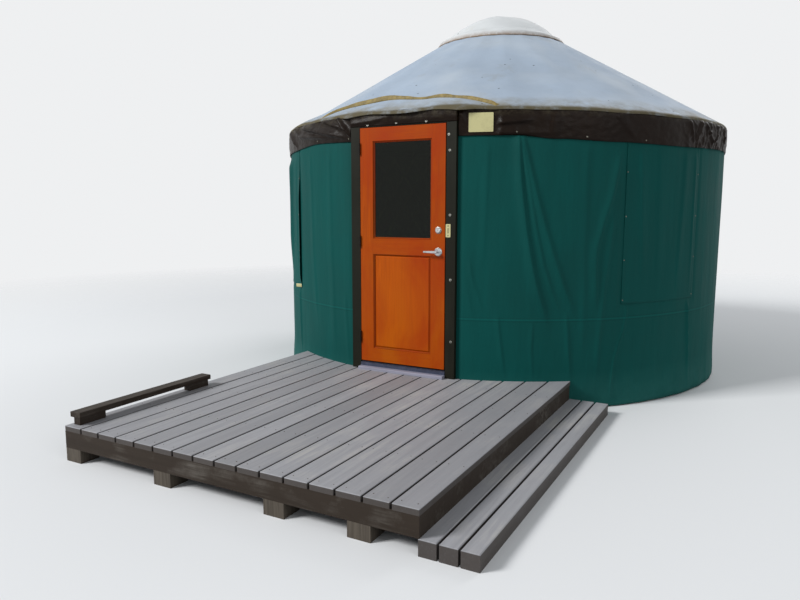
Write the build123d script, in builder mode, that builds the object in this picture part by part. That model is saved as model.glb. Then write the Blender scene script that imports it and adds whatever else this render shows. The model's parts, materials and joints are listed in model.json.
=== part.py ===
from build123d import *
from math import asin, cos, degrees, hypot, radians, sin, sqrt, tan
import os

# A small round yurt on a timber platform, with an outward opening door, a raised porch and a side step.
# Millimetres, +Z up. The origin is on the yurt's axis at ground level, and the door faces -Y.
# Azimuths are measured about the axis from the door, positive towards +X.

# Overall sizes
WALL_RADIUS = 2300.0  # outside of the wall cover
EAVE_HEIGHT = 2438.0  # outer surface of the roof cover at its edge
FLOOR_TOP = 242.0  # platform floor and porch deck
ROOF_PITCH = 30.45  # degrees

# Fits
SEAT = 0.3  # between curved pieces that lie on each other
DOOR_GAP = 5.0  # round the moving door leaf
LATCH_GAP = 8.0  # at the latch edge, which swings past its jamb
RUNNING_FIT = 0.05  # radial, at the pins and the lever

# Covers
WALL_COVER_THICK = 9.0  # vinyl and quilted insulation
ROOF_COVER_THICK = 8.0
EAVE_OVERHANG = 11.0
HEM_HEIGHT = 10.0  # the wall cover stops this far above the ground
VALANCE_DEPTH = 246.0
VALANCE_THICK = 2.5
VALANCE_LIFT = 3.5  # degrees that the valance's lower edge rises towards the door
VALANCE_LIFT_START = 1150.0  # in front of the axis
DOOR_STRIP_GAP = 5.0  # from the jambs' top to the valance's strip across the header
WALL_BREAKS = (0, 90, 135, 180, 225, 270, 360)  # azimuths where the wall cover's panels meet
WALL_NAMES = ("front_right", "side_right", "back_right", "back_left", "side_left", "front_left")

# Windows in the wall cover, each closed by an outside flap
WINDOW_AZIMUTHS = {"right": 58.6, "left": -48.2}
WINDOW_WIDTH = 680.0
WINDOW_SILL = 1000.0
WINDOW_HEIGHT = 1080.0
PANE_THICK = 2.0
FLAP_MARGIN = 110.0
FLAP_DROP = 125.0  # below the window's sill
FLAP_THICK = 2.0

# Lattice of two layers of laths
LATH_COUNT = 48
LATH_WIDTH = 38.0
LATH_THICK = 12.0
LATH_RUN = 1500.0  # distance round the wall that one lath covers
LATH_SPANS = 8  # straight stretches that follow the wall's curve
LAYER_SHARE = 0.3  # of a stretch's sag, kept between the two layers
CABLE_DIAMETER = 10.0

# Rafters and crown
RAFTER_COUNT = 24
RAFTER_DEPTH = 89.0
RAFTER_WIDTH = 38.0
RAFTER_SEAT_DROP = 66.0  # from the rafter's top at the wall to its level seat
RING_RADIUS = 600.0
RING_WALL = 60.0
RING_HEIGHT = 112.0
HOOP_WIDTH = 40.0
HOOP_DEPTH = 24.0
CAP_OVERHANG = 96.0  # of the cap's rim outside the crown ring
CAP_RISE = 338.0
CAP_LIP_INSET = 28.0  # of the skirt's turned edge from the rim
CAP_LIP_RISE = 52.0
CAP_SHOULDER_INSET = 25.0  # of the dome's foot inside the crown ring's face
CAP_SHOULDER_RISE = 100.0
CAP_THICK = 4.0
ROOF_COVER_LAP = 40.0  # of the roof cover over the crown ring

# Platform
DECKING_THICK = 24.0
RIM_THICK = 28.0
JOIST_WIDTH = 45.0
JOIST_PITCH = 406.0
SLEEPER_WIDTH = 140.0
SLEEPER_HEIGHT = 73.0
SLEEPER_PITCH = 1300.0
SLEEPER_COUNT = 3

# Door
DOOR_SETBACK = 20.0  # door face behind the wall cover's outer radius
LEAF_WIDTH = 813.0
LEAF_HEIGHT = 2032.0
LEAF_THICK = 44.0
LEAF_BOTTOM = 316.0
JAMB_WIDTH = 88.5
FRAME_DEPTH = 95.0
HEADER_GAP = 2.0  # under the roof cover
STOP_WIDTH = 15.0
STILE_WIDTH = 126.0
TOP_RAIL = 113.0
LOCK_RAIL = 133.0
BOTTOM_RAIL = 117.0
LIGHT_HEIGHT = 830.0  # glazed opening in the leaf
GLASS_THICK = 6.0
PANEL_THICK = 30.0
PANEL_EDGE = 11.0  # thickness of the panel under its beads
PANEL_BEVEL = 12.0  # width of the slope from the panel's edge to its raised field
BEAD_WIDTH = 14.0
BEAD_DEPTH = 12.0
BEAD_CHAMFER = 8.0
THRESHOLD_THICK = 26.0
THRESHOLD_NOSE = 55.0  # in front of the door's face
THRESHOLD_CHAMFER = 6.0
SADDLE_HEIGHT = 38.0
SADDLE_NOSE = 6.0  # in front of the door's face
SADDLE_SLOPE = 12.0  # fall of the saddle's front, and run of its back
SADDLE_SHELF = 12.0  # depth behind the door's face where the front slope ends

# Hinges
HINGE_HEIGHTS = (531.0, 1378.0, 2172.0)
HINGE_LENGTH = 100.0
HINGE_LEAF_THICK = 2.0
HINGE_LEAF_DEPTH = 40.0
KNUCKLE_RADIUS = 8.0
PIN_RADIUS = 4.0
PIN_STAND = 10.0  # pin's axis in front of the door's face
KNUCKLE_GAP = 0.5
LEAF_TO_KNUCKLE = 1.0  # from the knuckles to the part of the hinge that lies in the gap

# Door furniture
BACKSET = 60.0
LEVER_HEIGHT = 1308.0
LEVER_LENGTH = 125.0
LEVER_STAND = 52.0  # from the leaf's face to the middle of the grip
LEVER_ROOT = 11.0  # radius of the handle's side view at the neck
LEVER_TIP = 7.5
GRIP_THICK = 14.0
GRIP_CHAMFER = 3.0
NECK_RADIUS = 9.0
SPINDLE_RADIUS = 5.0
ROSE_RADIUS = 32.0
ROSE_THICK = 8.0
ROSE_CHAMFER = 3.0
BOLT_HEIGHT = 1487.0
BOLT_RADIUS = 22.0
BOLT_PROUD = 14.0
KEYWAY = (12.0, 3.0, 5.0)  # length, width and depth
THUMB_TURN = (30.0, 7.0, 18.0)
STRIKE_SIZE = (42.0, 108.0)
STRIKE_CORNER = 5.0
STRIKE_HEIGHT = 1485.0
PLATE_THICK = 3.0

# Blank plate on the valance
SIGN_SIZE = (196.0, 150.0)
SIGN_CORNER = 6.0
SIGN_AZIMUTH = 17.1
SIGN_DROP = 18.0  # below the valance's top

# Porch, step and kerb
PORCH_DEPTH = 2340.0  # from the door's face
PORCH_LEFT = 1270.0
PORCH_RIGHT = 1370.0
DECK_THICK = 36.0
FASCIA_HEIGHT = 115.0
FASCIA_THICK = 38.0
PORCH_JOIST_COUNT = 5
PORCH_WALL_GAP = 1.0  # from the porch's frame to the wall
FOOTING_SIZE = 140.0
FOOTING_WALL_GAP = 60.0
FOOTING_INSET = 345.0  # the front right footing from the porch's right edge
STEP_TIMBERS = 3
STEP_TIMBER_WIDTH = 98.0
STEP_TIMBER_GAP = 14.0
STEP_PACKER_SIZE = (120.0, 50.0)  # length and height of the packers between the timbers
STEP_PACKER_COUNT = 4
STEP_PACKER_INSET = 150.0  # of the end packers from the timbers' ends
STEP_TUCK = 6.0  # under the porch's fascia, whose underside it meets
STEP_FOOTING_GAP = 0.8
STEP_CHAMFER = 4.0
STEP_WALL_GAP = 10.0
KERB_LENGTH = 1195.0
KERB_WIDTH = 95.0
KERB_THICK = 36.0
KERB_CHAMFER = 3.0
KERB_BLOCK_HEIGHT = 53.0
KERB_BLOCK_LENGTH = 200.0
KERB_BLOCK_INSET = (18.0, 12.0)  # from the rail's sides and ends
KERB_SETBACK = (15.0, 35.0)  # from the porch's left and front edges

# Worked out from the sizes above
COVER_INSIDE = WALL_RADIUS - WALL_COVER_THICK
OUTER_LATH_RADIUS = COVER_INSIDE - SEAT  # outside of the outer laths
LATH_SAG = (LATH_RUN / LATH_SPANS) ** 2 / (8 * COVER_INSIDE)  # a straight stretch inside the true curve
INNER_LATH_RADIUS = OUTER_LATH_RADIUS - LATH_THICK - LAYER_SHARE * LATH_SAG - SEAT
FLAP_INSIDE = WALL_RADIUS + SEAT
VALANCE_INSIDE = FLAP_INSIDE + FLAP_THICK + 2 * SEAT
VALANCE_OUTSIDE = VALANCE_INSIDE + VALANCE_THICK
EAVE_RADIUS = WALL_RADIUS + EAVE_OVERHANG
SLOPE = tan(radians(ROOF_PITCH))
ROOF_DROP = ROOF_COVER_THICK / cos(radians(ROOF_PITCH))  # the roof cover's thickness, measured upright
CAP_RADIUS = RING_RADIUS + CAP_OVERHANG
ROOF_TOP_RADIUS = RING_RADIUS - ROOF_COVER_LAP
DOOR_FACE = -(WALL_RADIUS - DOOR_SETBACK)
LEAF_HALF = LEAF_WIDTH / 2
FRAME_HALF_WIDTH = LEAF_HALF + DOOR_GAP + JAMB_WIDTH
LEAF_TOP = LEAF_BOTTOM + LEAF_HEIGHT
LEAF_BACK = DOOR_FACE + LEAF_THICK
LIGHT_HALF = LEAF_HALF - STILE_WIDTH
LIGHT_BOTTOM = LEAF_TOP - TOP_RAIL - LIGHT_HEIGHT
PANEL_TOP = LIGHT_BOTTOM - LOCK_RAIL
PANEL_BOTTOM = LEAF_BOTTOM + BOTTOM_RAIL
HINGE_X = -(LEAF_HALF + DOOR_GAP / 2)
HINGE_Y = DOOR_FACE - PIN_STAND
LEVER_X = LEAF_HALF - BACKSET
PORCH_FRONT = DOOR_FACE - PORCH_DEPTH
FASCIA_BOTTOM = FLOOR_TOP - DECK_THICK - FASCIA_HEIGHT


def roof_height(radius):
    """Height of the roof cover's outer surface at a radius."""
    return EAVE_HEIGHT + (EAVE_RADIUS - radius) * SLOPE


def wall_y(x, clearance=0.0):
    """Y of the front of the wall's outer surface at x, with a clearance in front of it."""
    return -sqrt((WALL_RADIUS + clearance) ** 2 - x**2)


def on_wall(azimuth, radius, height):
    """Plane that stands on the wall at an azimuth, with its normal outwards."""
    turn = radians(azimuth)
    outwards = Vector(sin(turn), -cos(turn), 0)
    return Plane(origin=(outwards.X * radius, outwards.Y * radius, height),
                 x_dir=(cos(turn), sin(turn), 0), z_dir=outwards)


def save(part, name):
    part.label = name
    export_step(part, f"parts/{name}.step")


def ring_band(inside, outside, bottom, top, start=0.0, end=360.0):
    """Upright band about the axis between two azimuths."""
    with BuildPart() as band:
        with BuildSketch(Plane.XZ.rotated((0, 0, start - 90))):
            with Locations(((inside + outside) / 2, (bottom + top) / 2)):
                Rectangle(outside - inside, top - bottom)
        revolve(axis=Axis.Z, revolution_arc=end - start)
    return band.part


# Platform

def platform_floor():
    with BuildPart() as floor:
        with BuildSketch(Plane.XY.offset(FLOOR_TOP - DECKING_THICK)):
            Circle(OUTER_LATH_RADIUS)
        extrude(amount=DECKING_THICK)
    return floor.part


def platform_rim():
    return ring_band(OUTER_LATH_RADIUS - RIM_THICK, OUTER_LATH_RADIUS,
                     SLEEPER_HEIGHT, FLOOR_TOP - DECKING_THICK)


def platform_joists():
    inside = OUTER_LATH_RADIUS - RIM_THICK - SEAT
    count = 2 * int(inside / JOIST_PITCH) + 1
    with BuildPart() as joists:
        with BuildSketch(Plane.XY.offset(SLEEPER_HEIGHT)):
            with GridLocations(JOIST_PITCH, 0, count, 1):
                Rectangle(JOIST_WIDTH, 2 * inside)
            Circle(inside, mode=Mode.INTERSECT)
        extrude(amount=FLOOR_TOP - DECKING_THICK - SLEEPER_HEIGHT)
    return joists.part


def platform_sleepers():
    with BuildPart() as sleepers:
        with BuildSketch():
            with GridLocations(0, SLEEPER_PITCH, 1, SLEEPER_COUNT):
                Rectangle(2 * WALL_RADIUS, SLEEPER_WIDTH)
            Circle(OUTER_LATH_RADIUS, mode=Mode.INTERSECT)
        extrude(amount=SLEEPER_HEIGHT)
    return sleepers.part


# Wall

def door_gap_cutter():
    """Block that clears the doorway between the outer faces of the jambs."""
    half = FRAME_HALF_WIDTH + SEAT
    return Pos(0, DOOR_FACE, 0) * Box(2 * half, 4 * FRAME_DEPTH, 3 * EAVE_HEIGHT, mode=Mode.PRIVATE)


def window_opening(azimuth, margin=0.0):
    """Block through the wall cover at a window, larger by a margin all round."""
    plane = on_wall(azimuth, WALL_RADIUS, WINDOW_SILL + WINDOW_HEIGHT / 2)
    block = Box(WINDOW_WIDTH + 2 * margin, WINDOW_HEIGHT + 2 * margin, WINDOW_WIDTH / 2, mode=Mode.PRIVATE)
    return plane * block


def wall_panel(start, end):
    top = roof_height(WALL_RADIUS) - ROOF_DROP - SEAT
    with BuildPart() as panel:
        add(ring_band(COVER_INSIDE, WALL_RADIUS, HEM_HEIGHT, top, start, end))
        add(door_gap_cutter(), mode=Mode.SUBTRACT)
        for azimuth in WINDOW_AZIMUTHS.values():
            if start < azimuth % 360 < end:
                add(window_opening(azimuth), mode=Mode.SUBTRACT)
    return panel.part


def window_pane(azimuth):
    """Clear sheet that fills a window, in the middle of the wall cover's thickness."""
    middle = WALL_RADIUS - WALL_COVER_THICK / 2
    spread = degrees(WINDOW_WIDTH / WALL_RADIUS)
    top = WINDOW_SILL + WINDOW_HEIGHT
    with BuildPart() as pane:
        add(ring_band(middle - PANE_THICK / 2, middle + PANE_THICK / 2, WINDOW_SILL - SEAT,
                      top + SEAT, azimuth - spread, azimuth + spread))
        add(window_opening(azimuth, -SEAT), mode=Mode.INTERSECT)
    return pane.part


def window_panes():
    with BuildPart() as panes:
        for azimuth in WINDOW_AZIMUTHS.values():
            add(window_pane(azimuth))
    return panes.part


def window_flap(azimuth):
    """Outside flap over a window, which hangs from under the valance."""
    half = degrees((WINDOW_WIDTH / 2 + FLAP_MARGIN) / WALL_RADIUS)
    top = EAVE_HEIGHT - VALANCE_DEPTH + FLAP_MARGIN
    return ring_band(FLAP_INSIDE, FLAP_INSIDE + FLAP_THICK, WINDOW_SILL - FLAP_DROP, top,
                     azimuth - half, azimuth + half)


def valance_strip():
    """The valance's shallow part, which runs flat across the header and back to the ring at its ends."""
    half = FRAME_HALF_WIDTH + SEAT
    front = DOOR_FACE - SEAT - VALANCE_THICK
    back = -sqrt((VALANCE_INSIDE + VALANCE_THICK / 2) ** 2 - half**2)
    bottom = LEAF_TOP + DOOR_GAP + DOOR_STRIP_GAP
    with BuildPart() as strip:
        with BuildSketch(Plane.XY.offset(bottom)):
            with Locations((0, (front + back) / 2)):
                Rectangle(2 * (half + VALANCE_THICK), back - front)
            with Locations((0, (DOOR_FACE - SEAT + back) / 2)):
                Rectangle(2 * half, back - DOOR_FACE + SEAT, mode=Mode.SUBTRACT)
        extrude(amount=header_top() - bottom)
    return strip.part


def valance_lift_cutter():
    """Block below the valance, whose top slopes up towards the door."""
    bottom = EAVE_HEIGHT - VALANCE_DEPTH
    block = Pos(0, 0, -VALANCE_DEPTH / 2) * Box(3 * EAVE_RADIUS, 3 * EAVE_RADIUS, VALANCE_DEPTH,
                                                mode=Mode.PRIVATE)
    return Pos(0, -VALANCE_LIFT_START, bottom) * Rotation(-VALANCE_LIFT, 0, 0) * block


def valance():
    """Band that hangs from the eave outside the wall cover, shallower towards the door and over it."""
    gap = degrees(asin((FRAME_HALF_WIDTH + SEAT) / VALANCE_INSIDE))
    top = roof_height(VALANCE_OUTSIDE) - ROOF_DROP - SEAT
    with BuildPart() as band:
        add(ring_band(VALANCE_INSIDE, VALANCE_OUTSIDE, EAVE_HEIGHT - VALANCE_DEPTH, top, gap, 360 - gap))
        add(valance_lift_cutter(), mode=Mode.SUBTRACT)
        add(valance_strip())
    return band.part


# Lattice

def cable_height():
    """Height of the cable's middle, under the rafters' level seats."""
    return rafter_seat_height() - CABLE_DIAMETER / 2 - SEAT


def lath(outside, direction):
    """One lath bent round the wall, as straight stretches between upright sections."""
    middle = outside - LATH_THICK / 2
    bottom = FLOOR_TOP + LATH_WIDTH / 2
    rise = cable_height() - CABLE_DIAMETER / 2 - LATH_WIDTH / 2 - bottom
    turn = degrees(LATH_RUN / middle)
    lean = degrees(asin(LATH_RUN / hypot(LATH_RUN, rise)))
    with BuildPart() as bar:
        for step in range(LATH_SPANS + 1):
            share = step / LATH_SPANS
            station = on_wall(direction * turn * share, middle, bottom + rise * share)
            across = Plane(origin=station.origin, x_dir=station.z_dir,
                           z_dir=Vector(0, 0, 1) * cos(radians(lean))
                           + station.x_dir * direction * sin(radians(lean)))
            with BuildSketch(across):
                Rectangle(LATH_THICK, LATH_WIDTH)
        loft(ruled=True)
    return bar.part


def lattice_layer(outside, direction):
    bar = lath(outside, direction)
    with BuildPart() as layer:
        with PolarLocations(0, LATH_COUNT):
            add(bar)
        add(door_gap_cutter(), mode=Mode.SUBTRACT)
    return layer.part


def tension_cable():
    """Steel cable that lies in the top of the lattice and ties the rafters' thrust."""
    reach = OUTER_LATH_RADIUS - LATH_THICK - SEAT / 2
    with BuildPart() as cable:
        with BuildSketch(Plane.XZ):
            with Locations((reach, cable_height())):
                RegularPolygon(CABLE_DIAMETER / 2, 8)
        revolve(axis=Axis.Z)
        add(door_gap_cutter(), mode=Mode.SUBTRACT)
    return cable.part


# Roof

def rafter_top(radius):
    return roof_height(radius) - ROOF_DROP - 2 * SEAT


def rafter_seat_height():
    return rafter_top(OUTER_LATH_RADIUS) - RAFTER_SEAT_DROP


def rafter_azimuths():
    """Rafters stand half a pitch to each side of the door's middle, and so on round."""
    pitch = 360 / RAFTER_COUNT
    return [pitch * (index + 0.5) for index in range(RAFTER_COUNT)]


def rafters():
    foot = OUTER_LATH_RADIUS - SEAT
    head = RING_RADIUS + SEAT
    upright = RAFTER_DEPTH / cos(radians(ROOF_PITCH))
    seat = rafter_seat_height()
    belly = foot - (seat - (rafter_top(foot) - upright)) / SLOPE
    with BuildPart() as timber:
        with BuildSketch(Plane.XZ):
            with BuildLine():
                Polyline((foot, rafter_top(foot)), (foot, seat), (belly, seat),
                         (head, rafter_top(head) - upright), (head, rafter_top(head)), close=True)
            make_face()
        extrude(amount=RAFTER_WIDTH / 2, both=True)
    with BuildPart() as timbers:
        with Locations(*[Rotation(0, 0, azimuth - 90) for azimuth in rafter_azimuths()]):
            add(timber.part)
    return timbers.part


def crown_ring():
    """Timber compression ring that the rafters' heads bear on."""
    top = roof_height(RING_RADIUS) - ROOF_DROP - SEAT
    return ring_band(RING_RADIUS - RING_WALL, RING_RADIUS, top - RING_HEIGHT, top)


def cap_base():
    """Height of the crown cap's rim, on the roof cover."""
    return roof_height(CAP_RADIUS) + SEAT


def cap_profile(inset):
    """Half section of the crown cap's outer surface, moved inwards by an inset."""
    base = cap_base()
    rim = (CAP_RADIUS - inset, roof_height(CAP_RADIUS - inset) + SEAT)
    lip = (CAP_RADIUS - CAP_LIP_INSET - inset, base + CAP_LIP_RISE - inset)
    shoulder = (RING_RADIUS - CAP_SHOULDER_INSET - inset / 2, base + CAP_SHOULDER_RISE - inset)
    crown = (0, base + CAP_RISE - inset)
    return rim, lip, shoulder, crown


def crown_cap():
    """Fabric cap over the crown, a shallow dome on a sloping skirt."""
    rim, lip, shoulder, crown = cap_profile(0)
    rim_in, lip_in, shoulder_in, crown_in = cap_profile(CAP_THICK)
    with BuildPart() as cap:
        with BuildSketch(Plane.XZ):
            with BuildLine():
                Polyline(rim, lip, shoulder)
                TangentArc(crown, shoulder, tangent=(1, 0))
                Line(crown, crown_in)
                TangentArc(crown_in, shoulder_in, tangent=(1, 0))
                Polyline(shoulder_in, lip_in, rim_in, rim)
            make_face()
        revolve(axis=Axis.Z)
    return cap.part


def crown_hoops():
    """Two bent timber hoops that stand on the ring, inside the roof cover's edge, and carry the cap."""
    ring_top = roof_height(RING_RADIUS) - ROOF_DROP - SEAT
    reach = ROOF_TOP_RADIUS - SEAT
    top = cap_base() + CAP_RISE - CAP_THICK - 2 * SEAT
    with BuildPart() as hoops:
        with BuildSketch(Plane.XZ):
            with BuildLine():
                ThreePointArc((-reach, ring_top), (0, top), (reach, ring_top))
                Line((reach, ring_top), (reach - HOOP_DEPTH, ring_top))
                ThreePointArc((reach - HOOP_DEPTH, ring_top), (0, top - HOOP_DEPTH),
                              (-reach + HOOP_DEPTH, ring_top))
                Line((-reach + HOOP_DEPTH, ring_top), (-reach, ring_top))
            make_face()
        extrude(amount=HOOP_WIDTH / 2, both=True)
        add(hoops.part.rotate(Axis.Z, 90))
    return hoops.part


def roof_cover():
    """Conical roof cover with an open top, which the crown cap closes."""
    with BuildPart() as cover:
        with BuildSketch(Plane.XZ):
            with BuildLine():
                Polyline((EAVE_RADIUS, EAVE_HEIGHT), (ROOF_TOP_RADIUS, roof_height(ROOF_TOP_RADIUS)),
                         (ROOF_TOP_RADIUS, roof_height(ROOF_TOP_RADIUS) - ROOF_DROP),
                         (EAVE_RADIUS, EAVE_HEIGHT - ROOF_DROP), close=True)
            make_face()
        revolve(axis=Axis.Z)
    return cover.part


# Door frame

def jamb_corners(inner, side):
    """Plan of a jamb: a face board with a stop behind the leaf. Side is -1 at the hinges."""
    outer = FRAME_HALF_WIDTH * side
    back = DOOR_FACE + FRAME_DEPTH
    stop_front = LEAF_BACK + DOOR_GAP
    stop = inner - STOP_WIDTH * side
    return ((outer, DOOR_FACE), (inner, DOOR_FACE), (inner, stop_front), (stop, stop_front),
            (stop, back), (outer, back))


def door_jambs():
    with BuildPart() as jambs:
        with BuildSketch(Plane.XY.offset(FLOOR_TOP)):
            for inner, side in ((-(LEAF_HALF + DOOR_GAP), -1), (LEAF_HALF + LATCH_GAP, 1)):
                with BuildLine():
                    Polyline(*jamb_corners(inner, side), close=True)
                make_face()
        extrude(amount=LEAF_TOP + DOOR_GAP - FLOOR_TOP)
    return jambs.part


def header_top():
    """Top of the header, just under the edge of the roof cover."""
    return EAVE_HEIGHT - ROOF_DROP - HEADER_GAP


def rafter_pocket(azimuth):
    """Block that lets a rafter's foot into the back of the header."""
    depth = 2 * FRAME_DEPTH
    height = 2 * RAFTER_DEPTH
    middle = on_wall(azimuth, OUTER_LATH_RADIUS - depth / 2, rafter_seat_height() - SEAT + height / 2)
    return middle * Box(RAFTER_WIDTH + 2 * SEAT, height, depth, mode=Mode.PRIVATE)


def door_header():
    bottom = LEAF_TOP + DOOR_GAP
    back = DOOR_FACE + FRAME_DEPTH
    stop_front = LEAF_BACK + DOOR_GAP
    with BuildPart() as header:
        with BuildSketch(Plane.YZ.offset(-FRAME_HALF_WIDTH)):
            with Locations(((DOOR_FACE + back) / 2, (bottom + header_top()) / 2)):
                Rectangle(FRAME_DEPTH, header_top() - bottom)
        extrude(amount=2 * FRAME_HALF_WIDTH)
        with BuildSketch(Plane.YZ.offset(-LEAF_HALF + STOP_WIDTH)):
            with Locations(((stop_front + back) / 2, bottom - STOP_WIDTH / 2)):
                Rectangle(back - stop_front, STOP_WIDTH)
        extrude(amount=2 * (LEAF_HALF - STOP_WIDTH))
        for azimuth in rafter_azimuths():
            if abs(sin(radians(azimuth))) * WALL_RADIUS < FRAME_HALF_WIDTH and cos(radians(azimuth)) > 0:
                add(rafter_pocket(azimuth), mode=Mode.SUBTRACT)
    return header.part


def doorway_span():
    """Middle and width of the space between the jambs."""
    left = -(LEAF_HALF + DOOR_GAP) + SEAT
    right = LEAF_HALF + LATCH_GAP - SEAT
    return (left + right) / 2, right - left


def threshold_board():
    middle, width = doorway_span()
    front = DOOR_FACE - THRESHOLD_NOSE
    back = LEAF_BACK
    with BuildPart() as board:
        with BuildSketch(Plane.XY.offset(FLOOR_TOP)):
            with Locations((middle, (front + back) / 2)):
                Rectangle(width, back - front)
        extrude(amount=THRESHOLD_THICK)
        chamfer(board.edges().group_by(Axis.Z)[-1].sort_by(Axis.Y)[0], THRESHOLD_CHAMFER)
    return board.part


def threshold_saddle():
    """Metal saddle under the leaf, sloped to the outside."""
    middle, width = doorway_span()
    base = FLOOR_TOP + THRESHOLD_THICK
    top = base + SADDLE_HEIGHT
    nose = DOOR_FACE - SADDLE_NOSE
    with BuildPart() as saddle:
        with BuildSketch(Plane.YZ.offset(middle - width / 2)):
            with BuildLine():
                Polyline((nose, base), (nose, top - SADDLE_SLOPE), (DOOR_FACE + SADDLE_SHELF, top),
                         (LEAF_BACK - SADDLE_SLOPE, top), (LEAF_BACK, base), close=True)
            make_face()
        extrude(amount=width)
    return saddle.part


# Door leaf

def door_stiles():
    with BuildPart() as stiles:
        with BuildSketch(Plane.XY.offset(LEAF_BOTTOM)):
            with Locations((0, (DOOR_FACE + LEAF_BACK) / 2)):
                with GridLocations(LEAF_WIDTH - STILE_WIDTH, 0, 2, 1):
                    Rectangle(STILE_WIDTH, LEAF_THICK)
        extrude(amount=LEAF_HEIGHT)
        for height in (LEVER_HEIGHT, BOLT_HEIGHT):
            with BuildSketch(Plane.XZ.offset(-LEAF_BACK)):
                with Locations((LEVER_X, height)):
                    Circle(SPINDLE_RADIUS + DOOR_GAP)
            extrude(amount=LEAF_THICK, mode=Mode.SUBTRACT)
    return stiles.part


def leaf_block(half, bottom, top, front, back):
    """Block across the leaf between two heights and two depths behind its face."""
    with BuildPart() as block:
        with BuildSketch(Plane.XY.offset(bottom)):
            with Locations((0, DOOR_FACE + (front + back) / 2)):
                Rectangle(2 * half, back - front)
        extrude(amount=top - bottom)
    return block.part


def door_rails():
    with BuildPart() as rails:
        for bottom, top in ((LEAF_BOTTOM, PANEL_BOTTOM), (PANEL_TOP, LIGHT_BOTTOM),
                            (LEAF_TOP - TOP_RAIL, LEAF_TOP)):
            add(leaf_block(LIGHT_HALF, bottom, top, 0, LEAF_THICK))
    return rails.part


def bead_frame(bottom, top, front, outwards):
    """Four beads round an opening, mitred into one frame. Outwards is -1 on the leaf's outside."""
    with BuildPart() as frame:
        with BuildSketch(Plane.XZ.offset(-(DOOR_FACE + front + BEAD_DEPTH))):
            with Locations((0, (bottom + top) / 2)):
                Rectangle(2 * LIGHT_HALF, top - bottom)
                Rectangle(2 * (LIGHT_HALF - BEAD_WIDTH), top - bottom - 2 * BEAD_WIDTH, mode=Mode.SUBTRACT)
        extrude(amount=BEAD_DEPTH)
        shown = frame.faces().filter_by(Axis.Y).sort_by(Axis.Y)[0 if outwards < 0 else -1]
        chamfer(shown.inner_wires()[0].edges(), BEAD_CHAMFER)
    return frame.part


def door_beads():
    """Beads that hold the glass and the panel, on both faces of the leaf."""
    with BuildPart() as beads:
        for bottom, top, thick in ((LIGHT_BOTTOM, LEAF_TOP - TOP_RAIL, GLASS_THICK),
                                   (PANEL_BOTTOM, PANEL_TOP, PANEL_EDGE)):
            front = (LEAF_THICK - thick) / 2 - BEAD_DEPTH
            add(bead_frame(bottom, top, front, -1))
            add(bead_frame(bottom, top, front + BEAD_DEPTH + thick, 1))
    return beads.part


def door_glass():
    front = (LEAF_THICK - GLASS_THICK) / 2
    return leaf_block(LIGHT_HALF, LIGHT_BOTTOM, LEAF_TOP - TOP_RAIL, front, front + GLASS_THICK)


def door_panel():
    """Lower panel, raised on both faces, with slopes that run from its edges to a flat field."""
    front = (LEAF_THICK - PANEL_EDGE) / 2
    rise = (PANEL_THICK - PANEL_EDGE) / 2
    height = PANEL_TOP - PANEL_BOTTOM
    with BuildPart() as panel:
        add(leaf_block(LIGHT_HALF, PANEL_BOTTOM, PANEL_TOP, front, front + PANEL_EDGE))
        for face, outwards in ((front, -1), (front + PANEL_EDGE, 1)):
            for depth, inset in ((0, BEAD_WIDTH), (rise, BEAD_WIDTH + PANEL_BEVEL)):
                with BuildSketch(Plane.XZ.offset(-(DOOR_FACE + face + outwards * depth))):
                    with Locations((0, (PANEL_BOTTOM + PANEL_TOP) / 2)):
                        Rectangle(2 * (LIGHT_HALF - inset), height - 2 * inset)
            loft()
    return panel.part


# Hinges

def hinge_side(height, knuckles, face, thick, bored):
    """One half of a hinge: its leaf, let into the gap, and its share of the knuckles.

    Knuckles is a list of (bottom, top) measured from the hinge's middle. Face is the x of the surface
    that the leaf lies on, and thick is signed towards the gap.
    """
    leaf_front = HINGE_Y + KNUCKLE_RADIUS + LEAF_TO_KNUCKLE
    leaf_x = face + thick / 2
    with BuildPart() as half:
        with BuildSketch(Plane.XY.offset(height - HINGE_LENGTH / 2)):
            with Locations((leaf_x, leaf_front + HINGE_LEAF_DEPTH / 2)):
                Rectangle(abs(thick), HINGE_LEAF_DEPTH)
        extrude(amount=HINGE_LENGTH)
        for bottom, top in knuckles:
            with BuildSketch(Plane.XY.offset(height + bottom)):
                with Locations((HINGE_X, HINGE_Y)):
                    Circle(KNUCKLE_RADIUS)
                with Locations((leaf_x, (HINGE_Y + leaf_front) / 2)):
                    Rectangle(abs(thick), leaf_front - HINGE_Y)
                if bored:
                    with Locations((HINGE_X, HINGE_Y)):
                        Circle(PIN_RADIUS + RUNNING_FIT, mode=Mode.SUBTRACT)
            extrude(amount=top - bottom)
    return half.part


def frame_hinges():
    """Frame halves of the three hinges, each with its middle knuckle and the pin."""
    third = HINGE_LENGTH / 6
    face = -(LEAF_HALF + DOOR_GAP)
    with BuildPart() as halves:
        for height in HINGE_HEIGHTS:
            add(hinge_side(height, [(-third, third)], face, HINGE_LEAF_THICK, False))
            with BuildSketch(Plane.XY.offset(height - HINGE_LENGTH / 2)):
                with Locations((HINGE_X, HINGE_Y)):
                    Circle(PIN_RADIUS)
            extrude(amount=HINGE_LENGTH)
    return halves.part


def leaf_hinges():
    """Door halves of the three hinges, each with two bored knuckles."""
    third = HINGE_LENGTH / 6 + KNUCKLE_GAP
    end = HINGE_LENGTH / 2
    with BuildPart() as halves:
        for height in HINGE_HEIGHTS:
            add(hinge_side(height, [(-end, -third), (third, end)], -LEAF_HALF, -HINGE_LEAF_THICK, True))
    return halves.part


# Door furniture

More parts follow.
